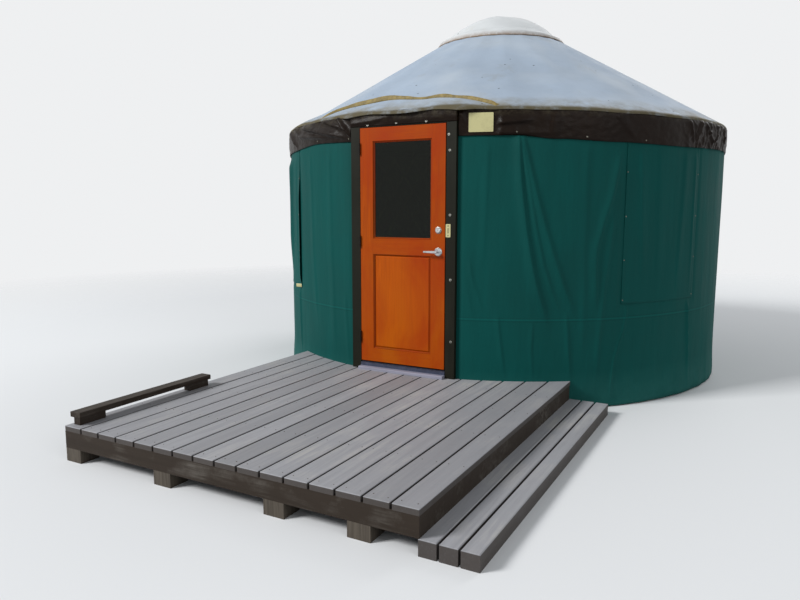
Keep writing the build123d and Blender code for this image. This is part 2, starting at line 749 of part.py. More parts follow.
def rose(radius, thick, bore, face, height, outwards):
    """Round rose on one face of the leaf. Outwards is -1 on the outside and 1 on the inside."""
    with BuildPart() as disc:
        with BuildSketch(Plane.XZ.offset(-face)):
            with Locations((LEVER_X, height)):
                Circle(radius)
                if bore:
                    Circle(bore, mode=Mode.SUBTRACT)
        extrude(amount=-outwards * thick)
        rim = disc.edges().filter_by(GeomType.CIRCLE).group_by(Axis.Y)[0 if outwards < 0 else -1]
        chamfer(rim.sort_by(SortBy.RADIUS)[-1], ROSE_CHAMFER)
    return disc.part


def lever_roses():
    with BuildPart() as roses:
        for face, outwards in ((DOOR_FACE, -1), (LEAF_BACK, 1)):
            add(rose(ROSE_RADIUS, ROSE_THICK, NECK_RADIUS + RUNNING_FIT, face, LEVER_HEIGHT, outwards))
    return roses.part


def deadbolt():
    """Key side and thumb turn of the bolt above the lever."""
    with BuildPart() as bolt:
        add(rose(BOLT_RADIUS, BOLT_PROUD, 0, DOOR_FACE, BOLT_HEIGHT, -1))
        with BuildSketch(Plane.XZ.offset(-(DOOR_FACE - BOLT_PROUD))):
            with Locations((LEVER_X, BOLT_HEIGHT)):
                SlotOverall(KEYWAY[0], KEYWAY[1], rotation=90)
        extrude(amount=-KEYWAY[2], mode=Mode.SUBTRACT)
        add(rose(BOLT_RADIUS, ROSE_THICK, 0, LEAF_BACK, BOLT_HEIGHT, 1))
        with BuildSketch(Plane.XZ.offset(-(LEAF_BACK + ROSE_THICK))):
            with Locations((LEVER_X, BOLT_HEIGHT)):
                SlotOverall(THUMB_TURN[0], THUMB_TURN[1], rotation=90)
        extrude(amount=-THUMB_TURN[2])
    return bolt.part


def lever_arm(face, outwards):
    """Neck and tapered handle on one side of the leaf, pointing at the hinges."""
    grip = face + outwards * (LEVER_STAND - GRIP_THICK / 2)
    with BuildPart() as handle:
        with BuildSketch(Plane.XZ.offset(-grip)):
            with Locations((LEVER_X, LEVER_HEIGHT)):
                Circle(LEVER_ROOT)
            with Locations((LEVER_X + LEVER_ROOT + LEVER_TIP - LEVER_LENGTH, LEVER_HEIGHT)):
                Circle(LEVER_TIP)
            make_hull()
        extrude(amount=-outwards * GRIP_THICK)
        chamfer(handle.faces().filter_by(Axis.Y).edges(), GRIP_CHAMFER)
    with BuildPart() as arm:
        with BuildSketch(Plane.XZ.offset(-face)):
            with Locations((LEVER_X, LEVER_HEIGHT)):
                Circle(NECK_RADIUS)
        extrude(amount=-outwards * LEVER_STAND)
        add(handle.part)
    return arm.part


def lever_handle():
    """Both handles and the spindle that joins them through the leaf."""
    with BuildPart() as handle:
        for face, outwards in ((DOOR_FACE, -1), (LEAF_BACK, 1)):
            add(lever_arm(face, outwards))
        with BuildSketch(Plane.XZ.offset(-LEAF_BACK)):
            with Locations((LEVER_X, LEVER_HEIGHT)):
                Circle(SPINDLE_RADIUS)
        extrude(amount=LEAF_THICK)
    return handle.part


def strike_plate():
    width, height = STRIKE_SIZE
    with BuildPart() as plate:
        with BuildSketch(Plane.XZ.offset(-DOOR_FACE)):
            with Locations((LEAF_HALF + LATCH_GAP + width / 2, STRIKE_HEIGHT)):
                RectangleRounded(width, height, STRIKE_CORNER)
        extrude(amount=PLATE_THICK)
    return plate.part


def sign_plate():
    """Blank plate on the valance beside the door."""
    width, height = SIGN_SIZE
    middle = EAVE_HEIGHT - SIGN_DROP - height / 2
    with BuildPart() as plate:
        with BuildSketch(on_wall(SIGN_AZIMUTH, VALANCE_OUTSIDE + SEAT, middle)):
            RectangleRounded(width, height, SIGN_CORNER)
        extrude(amount=PLATE_THICK)
    return plate.part


# Porch

def porch_deck():
    """Raised deck in front of the door, scribed to the round wall."""
    with BuildPart() as deck:
        with BuildSketch(Plane.XY.offset(FLOOR_TOP - DECK_THICK)):
            with Locations(((PORCH_RIGHT - PORCH_LEFT) / 2, PORCH_FRONT / 2)):
                Rectangle(PORCH_RIGHT + PORCH_LEFT, -PORCH_FRONT)
            Circle(WALL_RADIUS + 2 * SEAT, mode=Mode.SUBTRACT)
        extrude(amount=DECK_THICK)
    return deck.part


def porch_board(left, right, front, back):
    """Plan rectangle given by its four edges, added to the open sketch."""
    with Locations(((left + right) / 2, (front + back) / 2)):
        Rectangle(right - left, back - front)


def porch_fascias():
    """Boards under the deck's front and side edges."""
    with BuildPart() as fascias:
        with BuildSketch(Plane.XY.offset(FASCIA_BOTTOM)):
            porch_board(-PORCH_LEFT, PORCH_RIGHT, PORCH_FRONT, PORCH_FRONT + FASCIA_THICK)
            behind = PORCH_FRONT + FASCIA_THICK + SEAT
            porch_board(-PORCH_LEFT, FASCIA_THICK - PORCH_LEFT, behind,
                        wall_y(PORCH_LEFT - FASCIA_THICK, PORCH_WALL_GAP))
            porch_board(PORCH_RIGHT - FASCIA_THICK, PORCH_RIGHT, behind,
                        wall_y(PORCH_RIGHT - FASCIA_THICK, PORCH_WALL_GAP))
        extrude(amount=FASCIA_HEIGHT)
    return fascias.part


def porch_joist_places():
    inner = PORCH_LEFT + PORCH_RIGHT - 2 * FASCIA_THICK
    pitch = inner / (PORCH_JOIST_COUNT + 1)
    return [FASCIA_THICK - PORCH_LEFT + pitch * (index + 1) for index in range(PORCH_JOIST_COUNT)]


def porch_joists():
    with BuildPart() as joists:
        with BuildSketch(Plane.XY.offset(FASCIA_BOTTOM)):
            for x in porch_joist_places():
                reach = abs(x) - JOIST_WIDTH / 2
                porch_board(x - JOIST_WIDTH / 2, x + JOIST_WIDTH / 2, PORCH_FRONT + FASCIA_THICK,
                            wall_y(max(reach, 0), PORCH_WALL_GAP))
        extrude(amount=FASCIA_HEIGHT)
    return joists.part


def porch_footings():
    """Blocks that carry the porch frame in three rows, with the front right one set in from the corner."""
    front = PORCH_FRONT + FOOTING_SIZE / 2
    back = wall_y(0, FOOTING_WALL_GAP) - FOOTING_SIZE / 2
    left = FOOTING_SIZE / 2 - PORCH_LEFT
    right = PORCH_RIGHT - STEP_TUCK - STEP_FOOTING_GAP - FOOTING_SIZE / 2
    places = porch_joist_places()
    inner = [(x, y) for x in (left, places[1], places[3]) for y in (front, (front + back) / 2, back)]
    outer = [(PORCH_RIGHT - FOOTING_INSET, front), (right, (front + back) / 2), (right, back)]
    with BuildPart() as footings:
        with BuildSketch():
            with Locations(*inner, *outer):
                Rectangle(FOOTING_SIZE, FOOTING_SIZE)
        extrude(amount=FASCIA_BOTTOM)
    return footings.part


def step_timbers():
    """Timbers laid side by side along the porch's right edge, on a level with its fascia's underside.

    Packers hold them apart.
    """
    pitch = STEP_TIMBER_WIDTH + STEP_TIMBER_GAP
    start = PORCH_RIGHT - STEP_TUCK
    back = wall_y(start, STEP_WALL_GAP)
    packer_length, packer_height = STEP_PACKER_SIZE
    packer_pitch = (back - PORCH_FRONT - 2 * STEP_PACKER_INSET - packer_length) / (STEP_PACKER_COUNT - 1)
    with BuildPart() as timbers:
        with BuildSketch():
            for index in range(STEP_TIMBERS):
                left = start + index * pitch
                porch_board(left, left + STEP_TIMBER_WIDTH, PORCH_FRONT, back)
        extrude(amount=FASCIA_BOTTOM)
        chamfer(timbers.edges().group_by(Axis.Z)[-1].filter_by(Axis.Y), STEP_CHAMFER)
        with BuildSketch():
            with Locations((start + STEP_TIMBER_WIDTH * STEP_TIMBERS / 2
                            + STEP_TIMBER_GAP * (STEP_TIMBERS - 1) / 2, (PORCH_FRONT + back) / 2)):
                with GridLocations(pitch, packer_pitch, STEP_TIMBERS - 1, STEP_PACKER_COUNT):
                    Rectangle(STEP_TIMBER_GAP, packer_length)
        extrude(amount=packer_height)
    return timbers.part


def kerb_middle():
    side, front = KERB_SETBACK
    return -PORCH_LEFT + side + KERB_WIDTH / 2, PORCH_FRONT + front + KERB_LENGTH / 2


def kerb_rail():
    with BuildPart() as rail:
        with BuildSketch(Plane.XY.offset(FLOOR_TOP + KERB_BLOCK_HEIGHT)):
            with Locations(kerb_middle()):
                Rectangle(KERB_WIDTH, KERB_LENGTH)
        extrude(amount=KERB_THICK)
        chamfer(rail.edges().group_by(Axis.Z)[-1], KERB_CHAMFER)
    return rail.part


def kerb_blocks():
    """Two spacer blocks that hold the kerb's rail above the deck."""
    side, end = KERB_BLOCK_INSET
    with BuildPart() as blocks:
        with BuildSketch(Plane.XY.offset(FLOOR_TOP)):
            with Locations(kerb_middle()):
                with GridLocations(0, KERB_LENGTH - KERB_BLOCK_LENGTH - 2 * end, 1, 2):
                    Rectangle(KERB_WIDTH - 2 * side, KERB_BLOCK_LENGTH)
        extrude(amount=KERB_BLOCK_HEIGHT)
    return blocks.part


PIECES = {
    "platform_floor": platform_floor,
    "platform_rim": platform_rim,
    "platform_joists": platform_joists,
    "platform_sleepers": platform_sleepers,
    "tension_cable": tension_cable,
    "rafters": rafters,
    "crown_ring": crown_ring,
    "crown_hoops": crown_hoops,
    "crown_cap": crown_cap,
    "roof_cover": roof_cover,
    "valance": valance,
    "window_panes": window_panes,
    "door_jambs": door_jambs,
    "door_header": door_header,
    "threshold_board": threshold_board,
    "threshold_saddle": threshold_saddle,
    "door_stiles": door_stiles,
    "door_rails": door_rails,
    "door_beads": door_beads,
    "door_glass": door_glass,
    "door_panel": door_panel,
    "frame_hinges": frame_hinges,
    "leaf_hinges": leaf_hinges,
    "lever_roses": lever_roses,
    "deadbolt": deadbolt,
    "lever_handle": lever_handle,
    "strike_plate": strike_plate,
    "sign_plate": sign_plate,
    "porch_deck": porch_deck,
    "porch_fascias": porch_fascias,
    "porch_joists": porch_joists,
    "porch_footings": porch_footings,
    "step_timbers": step_timbers,
    "kerb_rail": kerb_rail,
    "kerb_blocks": kerb_blocks,
}


def main():
    os.makedirs("parts", exist_ok=True)
    for name, make in PIECES.items():
        save(make(), name)
    for name, start, end in zip(WALL_NAMES, WALL_BREAKS, WALL_BREAKS[1:]):
        save(wall_panel(start, end), f"wall_{name}")
    for side, azimuth in WINDOW_AZIMUTHS.items():
        save(window_flap(azimuth), f"window_flap_{side}")
    save(lattice_layer(OUTER_LATH_RADIUS, 1), "lattice_outer_laths")
    save(lattice_layer(INNER_LATH_RADIUS, -1), "lattice_inner_laths")


main()
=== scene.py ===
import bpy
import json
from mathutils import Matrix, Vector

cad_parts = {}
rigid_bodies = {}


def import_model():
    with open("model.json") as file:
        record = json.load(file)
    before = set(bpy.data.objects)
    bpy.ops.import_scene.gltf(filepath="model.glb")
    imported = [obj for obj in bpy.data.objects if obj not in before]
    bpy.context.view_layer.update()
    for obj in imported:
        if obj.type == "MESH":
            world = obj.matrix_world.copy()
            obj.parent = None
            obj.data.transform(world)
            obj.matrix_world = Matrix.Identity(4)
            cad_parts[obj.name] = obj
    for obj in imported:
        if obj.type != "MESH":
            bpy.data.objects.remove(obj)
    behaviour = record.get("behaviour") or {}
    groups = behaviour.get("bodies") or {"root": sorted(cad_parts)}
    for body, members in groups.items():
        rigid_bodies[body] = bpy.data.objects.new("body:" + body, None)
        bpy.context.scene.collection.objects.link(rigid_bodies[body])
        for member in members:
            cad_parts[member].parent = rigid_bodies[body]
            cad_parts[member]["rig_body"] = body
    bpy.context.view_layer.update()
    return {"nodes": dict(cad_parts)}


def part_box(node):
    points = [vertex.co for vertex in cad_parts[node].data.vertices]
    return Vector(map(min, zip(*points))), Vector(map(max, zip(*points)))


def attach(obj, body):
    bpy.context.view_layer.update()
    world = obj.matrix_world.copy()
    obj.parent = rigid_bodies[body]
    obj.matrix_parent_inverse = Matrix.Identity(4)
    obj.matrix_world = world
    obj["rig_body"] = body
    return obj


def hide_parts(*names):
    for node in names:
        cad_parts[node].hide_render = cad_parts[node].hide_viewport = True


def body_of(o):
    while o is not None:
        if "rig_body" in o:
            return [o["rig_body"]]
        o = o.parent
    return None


bl_info = {
    "name": "Round yurt with porch",
    "version": (1, 0, 0),
    "blender": (4, 5, 0),
    "location": "3D View > Sidebar > Yurt",
    "description": "Makes the covers, boards, fastenings and finishes of a round yurt on its timber frame",
    "category": "Object",
}

import json
import math
import random

import bmesh
import bpy
from bpy.props import FloatProperty, FloatVectorProperty, IntProperty, PointerProperty
from mathutils import Matrix, Vector, noise

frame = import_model()
NODES = frame["nodes"]

# Places read from the frame, in metres
WALL_LOW, WALL_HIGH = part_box("wall_back_right")
CAP_LOW, CAP_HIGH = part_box("crown_cap")
VALANCE_LOW, VALANCE_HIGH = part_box("valance")
HEADER_LOW, HEADER_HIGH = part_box("door_header")
DECK_LOW, DECK_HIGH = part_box("porch_deck")
PANE_LOW, PANE_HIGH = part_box("window_panes")
FLAP_LOW, FLAP_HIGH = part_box("window_flap_right")
SIGN_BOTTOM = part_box("sign_plate")[0].z
STEP_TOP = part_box("step_timbers")[1].z
DOOR_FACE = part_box("door_jambs")[0].y
WALL_NODES = [name for name in NODES if name.startswith("wall_")]

# Sizes of the round covers, in metres and degrees
WALL_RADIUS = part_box("wall_side_right")[1].x
EAVE_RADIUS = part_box("roof_cover")[1].x
EAVE_HEIGHT = 2.438
SLOPE = 0.58785
ROOF_TOP_RADIUS = 0.56
CAP_RADIUS = CAP_HIGH.x
RAFTER_PITCH = 15.0
DOOR_HALF = 12.55  # from the door's middle to the wall cover's edges
WALL_LENGTH = math.radians(360 - 2 * DOOR_HALF) * WALL_RADIUS
VALANCE_RADIUS = VALANCE_HIGH.x
FLAP_RADIUS = WALL_RADIUS + 0.0023
WINDOWS = {"right": 58.6, "left": -48.2}  # azimuths of their middles
WINDOW_HALF = 8.52
FLAP_HALF = 11.2
SIGN_AZIMUTH = 17.1
SEAM_HEIGHT = 0.757  # of the wall cover's welded seam
SEAM_HALF = 0.014  # half of the seam's width
RIM_LIFTS = ((-180, 0.0), (-90, 0.002), (-60, 0.008), (-45, 0.024), (-35, 0.034), (-22, 0.034), (-12.5, 0.044),
             (0, 0.028), (12.5, 0.048), (20, 0.024), (30, 0.020), (39, 0.014), (48, 0.006), (60, 0.0),
             (180, 0.0))


def srgb(red, green, blue):
    """Linear colour of a screen colour given from 0 to 255."""
    def linear(value):
        value /= 255
        return value / 12.92 if value <= 0.04045 else ((value + 0.055) / 1.055) ** 2.4
    return linear(red), linear(green), linear(blue)


def colour_property(name, description, *colour):
    return FloatVectorProperty(name=name, description=description, subtype="COLOR", size=3,
                               min=0.0, max=1.0, default=srgb(*colour))


def length_property(name, description, default, low, high):
    return FloatProperty(name=name, description=description, default=default, min=low, max=high, unit="LENGTH")


class YurtSizes(bpy.types.PropertyGroup):
    """Sizes of the covers, boards and fastenings that a maker would change."""
    fold_depth: length_property("Fold depth", "How far the wall's deepest folds stand out", 0.018, 0.0, 0.03)
    roof_sag: length_property("Roof sag", "How far the roof cover hangs between two rafters", 0.012, 0.0, 0.03)
    crumple: length_property("Valance crumple", "How far the valance's wrinkles stand out", 0.010, 0.0, 0.03)
    board_count: IntProperty(name="Deck boards", description="Number of boards across the porch",
                             default=16, min=4, max=40)
    board_gap: length_property("Board gap", "Gap between two deck boards", 0.014, 0.002, 0.03)
    strip_width: length_property("Rain strip width", "Width of the strip over the door", 0.062, 0.01, 0.10)
    washer_radius: length_property("Washer radius", "Radius of the door frame's washers", 0.011, 0.004, 0.03)


class YurtColours(bpy.types.PropertyGroup):
    """Colours of the finishes."""
    wall: colour_property("Wall", "Coated cloth of the wall", 3, 71, 67)
    wall_dust: colour_property("Wall dust", "Dust on the foot of the wall", 46, 106, 100)
    # partly painted shade: the roof cloth is pale like the cap, and its blue-grey here stands for skylit shade
    roof: colour_property("Roof", "Coated cloth of the roof", 162, 176, 192)
    roof_dirt: colour_property("Roof dirt", "Dirt along the roof's rim", 118, 108, 80)
    cap: colour_property("Cap", "Cloth of the crown cap", 208, 211, 212)
    valance: colour_property("Valance", "Brown band under the eave", 24, 14, 7)
    strip: colour_property("Rain strip", "Webbing of the rain strip", 148, 128, 70)
    door: colour_property("Door", "Orange stain of the door", 168, 71, 2)
    door_grain: colour_property("Door grain", "Darker grain of the door", 126, 44, 2)
    door_frame: colour_property("Door frame", "Paint of the jambs and header", 25, 25, 17)
    deck: colour_property("Deck", "Paint of the porch", 158, 158, 162)
    deck_wear: colour_property("Deck wear", "Bare timber where the paint is worn", 184, 180, 172)
    # also laid on the sides and ends of the deck boards and step as painted shade
    fascia: colour_property("Fascia", "Paint of the porch's sides and kerb", 50, 42, 35)
    timber: colour_property("Timber", "Bare softwood of the frame", 196, 160, 112)
    plate: colour_property("Plate", "Cream paint of the plates", 190, 184, 134)


def sizes():
    return bpy.context.scene.yurt_sizes


def colours():
    return bpy.context.scene.yurt_colours


# Shapes shared by the pieces

def polar(azimuth, radius, height):
    """Point at an azimuth in degrees from the door, positive towards +X."""
    turn = math.radians(azimuth)
    return Vector((radius * math.sin(turn), -radius * math.cos(turn), height))


def signed(azimuth):
    """The same azimuth between -180 and 180 degrees."""
    return azimuth - 360 if azimuth > 180 else azimuth


def ease(share):
    """Smooth rise from 0 to 1, held outside that range."""
    share = min(max(share, 0.0), 1.0)
    return share * share * (3 - 2 * share)


def blend(a, b, share):
    return a + (b - a) * share


def from_table(table, key):
    """Value at a key of a table of (key, value) pairs, with smooth steps between them."""
    for (low, first), (high, second) in zip(table, table[1:]):
        if key <= high:
            return blend(first, second, ease((key - low) / (high - low)))
    return table[-1][1]


def stations(*stops):
    """Values of a grid's lines, from stops that are a value and the number of steps to the next one."""
    lines = [stops[0][0]]
    for (low, steps), (high, _) in zip(stops, stops[1:]):
        lines += [blend(low, high, step / steps) for step in range(1, steps + 1)]
    return lines


def wander(x, y, z, size, seed=0.0):
    """Smooth noise from -1 to 1 whose lumps are about size metres across."""
    return noise.noise(Vector((x / size + seed, y / size, z / size)))


def lump(azimuth, height, size, seed=0.0):
    """Smooth noise from 0 to 2 round the wall."""
    return 1 + wander(*polar(azimuth, WALL_RADIUS, height), size, seed)


def on_cloth(azimuth, height):
    """Point of the unrolled wall: metres round it from the door's middle, and height."""
    return math.radians(azimuth) * WALL_RADIUS, height


def crease(along, height, start, end, width, rise, lean):
    """Rise of a soft crease at a point of the unrolled cloth, all in metres.

    One flank is steep and the other is lean times as wide. It fades out at both ends.
    """
    run_x, run_z = end[0] - start[0], end[1] - start[1]
    length = math.hypot(run_x, run_z)
    share = ((along - start[0]) * run_x + (height - start[1]) * run_z) / length**2
    if not -0.05 < share < 1.05:
        return 0.0
    side = ((along - start[0]) * run_z - (height - start[1]) * run_x) / length
    flank = width if side > 0 else width * lean
    return rise * math.exp(-(side / flank) ** 2) * ease((share + 0.05) / 0.2) * ease((1.05 - share) / 0.45)


def creases(azimuth, height, table, depth):
    """Rise of a table's creases, whose rows are start, end, width, share of the depth and lean."""
    along, _ = on_cloth(azimuth, height)
    return sum(crease(along, height, on_cloth(*start), on_cloth(*end), width, share * depth, lean)
               for start, end, width, share, lean in table)


def rim_lift(azimuth):
    """How far the roof cover's rim and the valance's top stand above the plain eave."""
    return from_table(RIM_LIFTS, azimuth)


def roof_place(azimuth, radius, sag):
    """Point on the roof cover's outer face."""
    share = (radius - ROOF_TOP_RADIUS) / (EAVE_RADIUS - ROOF_TOP_RADIUS)
    between = 0.5 - 0.5 * math.cos(math.radians((azimuth - RAFTER_PITCH / 2) * 360 / RAFTER_PITCH))
    middle = math.sin(math.pi * min(max(share, 0.0), 1.0)) ** 0.6
    height = EAVE_HEIGHT + (EAVE_RADIUS - radius) * SLOPE - sag * between**0.8 * (0.35 * share + 0.65 * middle)
    height += rim_lift(azimuth) * ease((radius - 1.98) / 0.30)
    height += 0.0016 * wander(*polar(azimuth, radius, 0.0), 0.16, 1.0) * math.sin(math.pi * share)
    return polar(azimuth, radius, height)


def smooth_line(points, steps):
    """Smooth line through points, with steps stretches between each two."""
    out = []
    for index in range(len(points) - 1):
        before = points[max(index - 1, 0)]
        here, ahead = points[index], points[index + 1]
        after = points[min(index + 2, len(points) - 1)]
        for step in range(steps):
            share = step / steps
            out.append(0.5 * ((2 * here) + (ahead - before) * share
                              + (2 * before - 5 * here + 4 * ahead - after) * share**2
                              + (3 * here - before - 3 * ahead + after) * share**3))
    return out + [points[-1]]


def cloth_radius(name, azimuth, height):
    """Radius of a cloth's outer face at an azimuth and height, from its nearest point."""
    target = polar(azimuth, VALANCE_RADIUS, height)
    nearest = min(bpy.data.objects[name].data.vertices, key=lambda vert: (vert.co - target).length_squared)
    return math.hypot(nearest.co.x, nearest.co.y)


def add_object(name, data):
    made = bpy.data.objects.new(name, data)
    bpy.context.scene.collection.objects.link(made)
    return made


def make_piece(name, made, material, body="root", smooth=True, replaces=()):
    """Turns a bmesh into a piece that rides on a body."""
    mesh = bpy.data.meshes.new(name)
    made.to_mesh(mesh)
    made.free()
    mesh.polygons.foreach_set("use_smooth", [smooth] * len(mesh.polygons))
    mesh.materials.append(material)
    piece = add_object(name, mesh)
    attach(piece, body)
    if replaces:
        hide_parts(*replaces)
    return piece


def make_heads(name, made, finish, tone, roughness):
    """Turns discs into a piece of small metal heads with sharp edges."""
    make_piece(name, made, metal(finish, srgb(*tone), roughness), smooth=False)


def make_sheet(name, made, finish, slot, thickness, replaces=(), **soft):
    """Turns a bmesh into a sheet, which gets its thickness inwards from its outer face."""
    bmesh.ops.recalc_face_normals(made, faces=made.faces)
    cloth = make_piece(name, made, shared(finish), replaces=replaces)
    solid = cloth.modifiers.new("thickness", "SOLIDIFY")
    solid.thickness = thickness
    solid.offset = -1.0


def draped_grid(columns, rows, place):
    """Grid whose points come from a function of the values of their column and row."""
    made = bmesh.new()
    across, up = len(columns) - 1, len(rows) - 1
    bmesh.ops.create_grid(made, x_segments=across, y_segments=up, size=0.5)
    for vert in made.verts:
        vert.co = place(columns[round((vert.co.x + 0.5) * across)], rows[round((vert.co.y + 0.5) * up)])
    return made


def edges_of(verts):
    """All the edges that meet at some vertices."""
    return {edge for vert in verts for edge in vert.link_edges}


def add_disc(made, middle, outwards, radius, depth, segments=12, dome=0.0):
    """Adds a short round head that lies on a surface, with a smaller top if dome is given."""
    turn = outwards.to_track_quat("Z", "Y").to_matrix().to_4x4()
    place = Matrix.Translation(middle + outwards * depth / 2) @ turn
    bmesh.ops.create_cone(made, cap_ends=True, segments=segments, radius1=radius,
                          radius2=radius * (1 - dome), depth=depth, matrix=place)


def add_ring(made, place, segments, radius, middle, axis, steps):
    """Adds a ring, which is a circle turned once round an axis, with its faces outwards."""
    section = bmesh.ops.create_circle(made, segments=segments, radius=radius, matrix=place)["verts"]
    bmesh.ops.spin(made, geom=section + list(edges_of(section)), cent=middle, axis=axis, angle=math.tau,
                   steps=steps, use_merge=True)
    bmesh.ops.recalc_face_normals(made, faces=made.faces)


def add_block(made, low, high):
    """Adds a block between two corners and returns its vertices."""
    low, high = Vector(low), Vector(high)
    place = Matrix.Translation((low + high) / 2) @ Matrix.Diagonal((*(high - low), 1))
    return bmesh.ops.create_cube(made, size=1.0, matrix=place)["verts"]


# Materials

FINISHES = {}


def shared(maker, *arguments):
    """The finish that a maker gives, made once for all the pieces that wear it."""
    key = (maker.__name__, *arguments)
    if key not in FINISHES:
        FINISHES[key] = maker(*arguments)
    return FINISHES[key]


def dim(colour, share):
    """A darker colour, or a paler one where the share is over 1."""
    return [part * share for part in colour]


def node(tree, kind, sockets=None, **settings):
    """Adds a shader node, sets it up and links what its sockets are given."""
    made = tree.nodes.new(kind)
    for key, value in settings.items():
        setattr(made, key, value)
    for key, value in (sockets or {}).items():
        if isinstance(value, bpy.types.NodeSocket):
            tree.links.new(value, made.inputs[key])
        else:
            made.inputs[key].default_value = value
    return made


def maths(tree, operation, first, second=0.0, clamp=False):
    return node(tree, "ShaderNodeMath", {0: first, 1: second}, operation=operation, use_clamp=clamp).outputs[0]


def times(tree, first, second, clamp=False):
    return maths(tree, "MULTIPLY", first, second, clamp)


def apart(tree, first, second):
    """How far two values are apart."""
    return maths(tree, "ABSOLUTE", maths(tree, "SUBTRACT", first, second))


def mix(tree, share, first, second):
    """Mixes two colours, which are sockets or plain linear colours."""
    def full(colour):
        return colour if isinstance(colour, bpy.types.NodeSocket) else (*colour[:3], 1.0)
    sockets = {0: share, 6: full(first), 7: full(second)}
    return node(tree, "ShaderNodeMix", sockets, data_type="RGBA").outputs[2]


def span(tree, value, low, high, to_low=0.0, to_high=1.0):
    """Maps a range to another one, held at its ends."""
    return node(tree, "ShaderNodeMapRange", {"Value": value, "From Min": low, "From Max": high,
                                             "To Min": to_low, "To Max": to_high}, clamp=True).outputs[0]


def place_of(tree, stretch=(1, 1, 1)):
    """Object coordinates, scaled along each axis."""
    source = node(tree, "ShaderNodeTexCoord").outputs["Object"]
    return node(tree, "ShaderNodeMapping", {"Vector": source, "Scale": stretch}).outputs[0]


def place_on(tree, axis):
    """Object coordinate along one axis."""
    return node(tree, "ShaderNodeSeparateXYZ", {0: place_of(tree)}).outputs["XYZ".index(axis)]


def distance_out(tree):
    """Distance from the yurt's axis."""
    squares = [maths(tree, "POWER", maths(tree, "ABSOLUTE", place_on(tree, axis)), 2.0) for axis in "XY"]
    return maths(tree, "SQRT", maths(tree, "ADD", *squares))


def cloud(tree, scale, detail=3.0, roughness=0.5, distortion=0.0, stretch=(1, 1, 1)):
    """Noise from 0 to 1."""
    sockets = {"Vector": place_of(tree, stretch), "Scale": scale, "Detail": detail, "Roughness": roughness,
               "Distortion": distortion}
    return node(tree, "ShaderNodeTexNoise", sockets).outputs[0]


def mottle(tree, value, colour, dark, low=0.35, high=0.7):
    """A colour that is darker where a noise is low."""
    return mix(tree, span(tree, value, low, high), dim(colour, dark), colour)


def speckle(tree, colour, scale, size, speck):
    """A colour with small dark specks."""
    spots = node(tree, "ShaderNodeTexVoronoi", {"Vector": place_of(tree), "Scale": scale}).outputs[0]
    return mix(tree, span(tree, spots, size, 0.05, 0.0, 0.8), colour, speck)


def bumps(tree, height, strength, distance=0.002, normal=None):
    sockets = {"Height": height, "Strength": strength, "Distance": distance}
    if normal:
        sockets["Normal"] = normal
    return node(tree, "ShaderNodeBump", sockets).outputs[0]


def weave(tree, scale, strength, normal=None, distance=0.0006):
    """Fine bumps of a woven cloth."""
    return bumps(tree, cloud(tree, scale, 2.0), strength, distance, normal)


def new_finish(name):
    """Empty material and its node tree."""
    material = bpy.data.materials.new(name)
    material.use_nodes = True
    return material, material.node_tree


def finish_surface(material, colour, roughness, normal=None, **constants):
    """Links the changing values of a finish, sets its constant ones and returns it."""
    shader = material.node_tree.nodes["Principled BSDF"]
    for key, value in (("Base Color", colour), ("Roughness", roughness), ("Normal", normal)):
        if isinstance(value, bpy.types.NodeSocket):
            material.node_tree.links.new(value, shader.inputs[key])
        elif value is not None:
            shader.inputs[key].default_value = (*value, 1.0) if key == "Base Color" else value
    for key, value in constants.items():
        shader.inputs[key.replace("_", " ")].default_value = value
    return material


def wall_vinyl():
    """Matt coated cloth with a fine weave, faint streaks, a welded seam with painted shade along its edges and a
    painted highlight along its middle, and dust at its foot.
    """
    material, tree = new_finish("wall_vinyl")
    wall, height = colours().wall, place_on(tree, "Z")
    blotch = cloud(tree, 1.3, 4.0)
    colour = mottle(tree, blotch, wall, 0.84)
    streak = cloud(tree, 1.0, 4.0, 0.6, stretch=(9, 9, 0.7))
    colour = mix(tree, span(tree, streak, 0.45, 0.8, 0.0, 0.22), colour, dim(wall, 1.5))
    foot = times(tree, span(tree, height, 0.32, 0.0), cloud(tree, 9.0, 5.0, 0.65))
    colour = mix(tree, times(tree, foot, 0.75), colour, colours().wall_dust)
    seam = apart(tree, height, SEAM_HEIGHT)
    # painted shade: two dark lines along the welded seam's edges
    colour = mix(tree, span(tree, apart(tree, seam, SEAM_HALF), 0.004, 0.0, 0.0, 0.42), colour, dim(wall, 0.4))
    # painted highlight: a pale line along the welded seam's middle
    colour = mix(tree, span(tree, seam, SEAM_HALF / 2, 0.003, 0.0, 0.3), colour, dim(wall, 1.9))
    normal = bumps(tree, cloud(tree, 1.0, 4.0, 0.55, stretch=(6, 6, 1.2)), 0.6, 0.014)
    normal = bumps(tree, span(tree, seam, SEAM_HALF + 0.002, SEAM_HALF - 0.002), 0.6, 0.0012, normal)
    return finish_surface(material, colour, span(tree, blotch, 0.3, 0.7, 0.68, 0.8),
                          weave(tree, 420.0, 0.18, normal), Specular_IOR_Level=0.12)


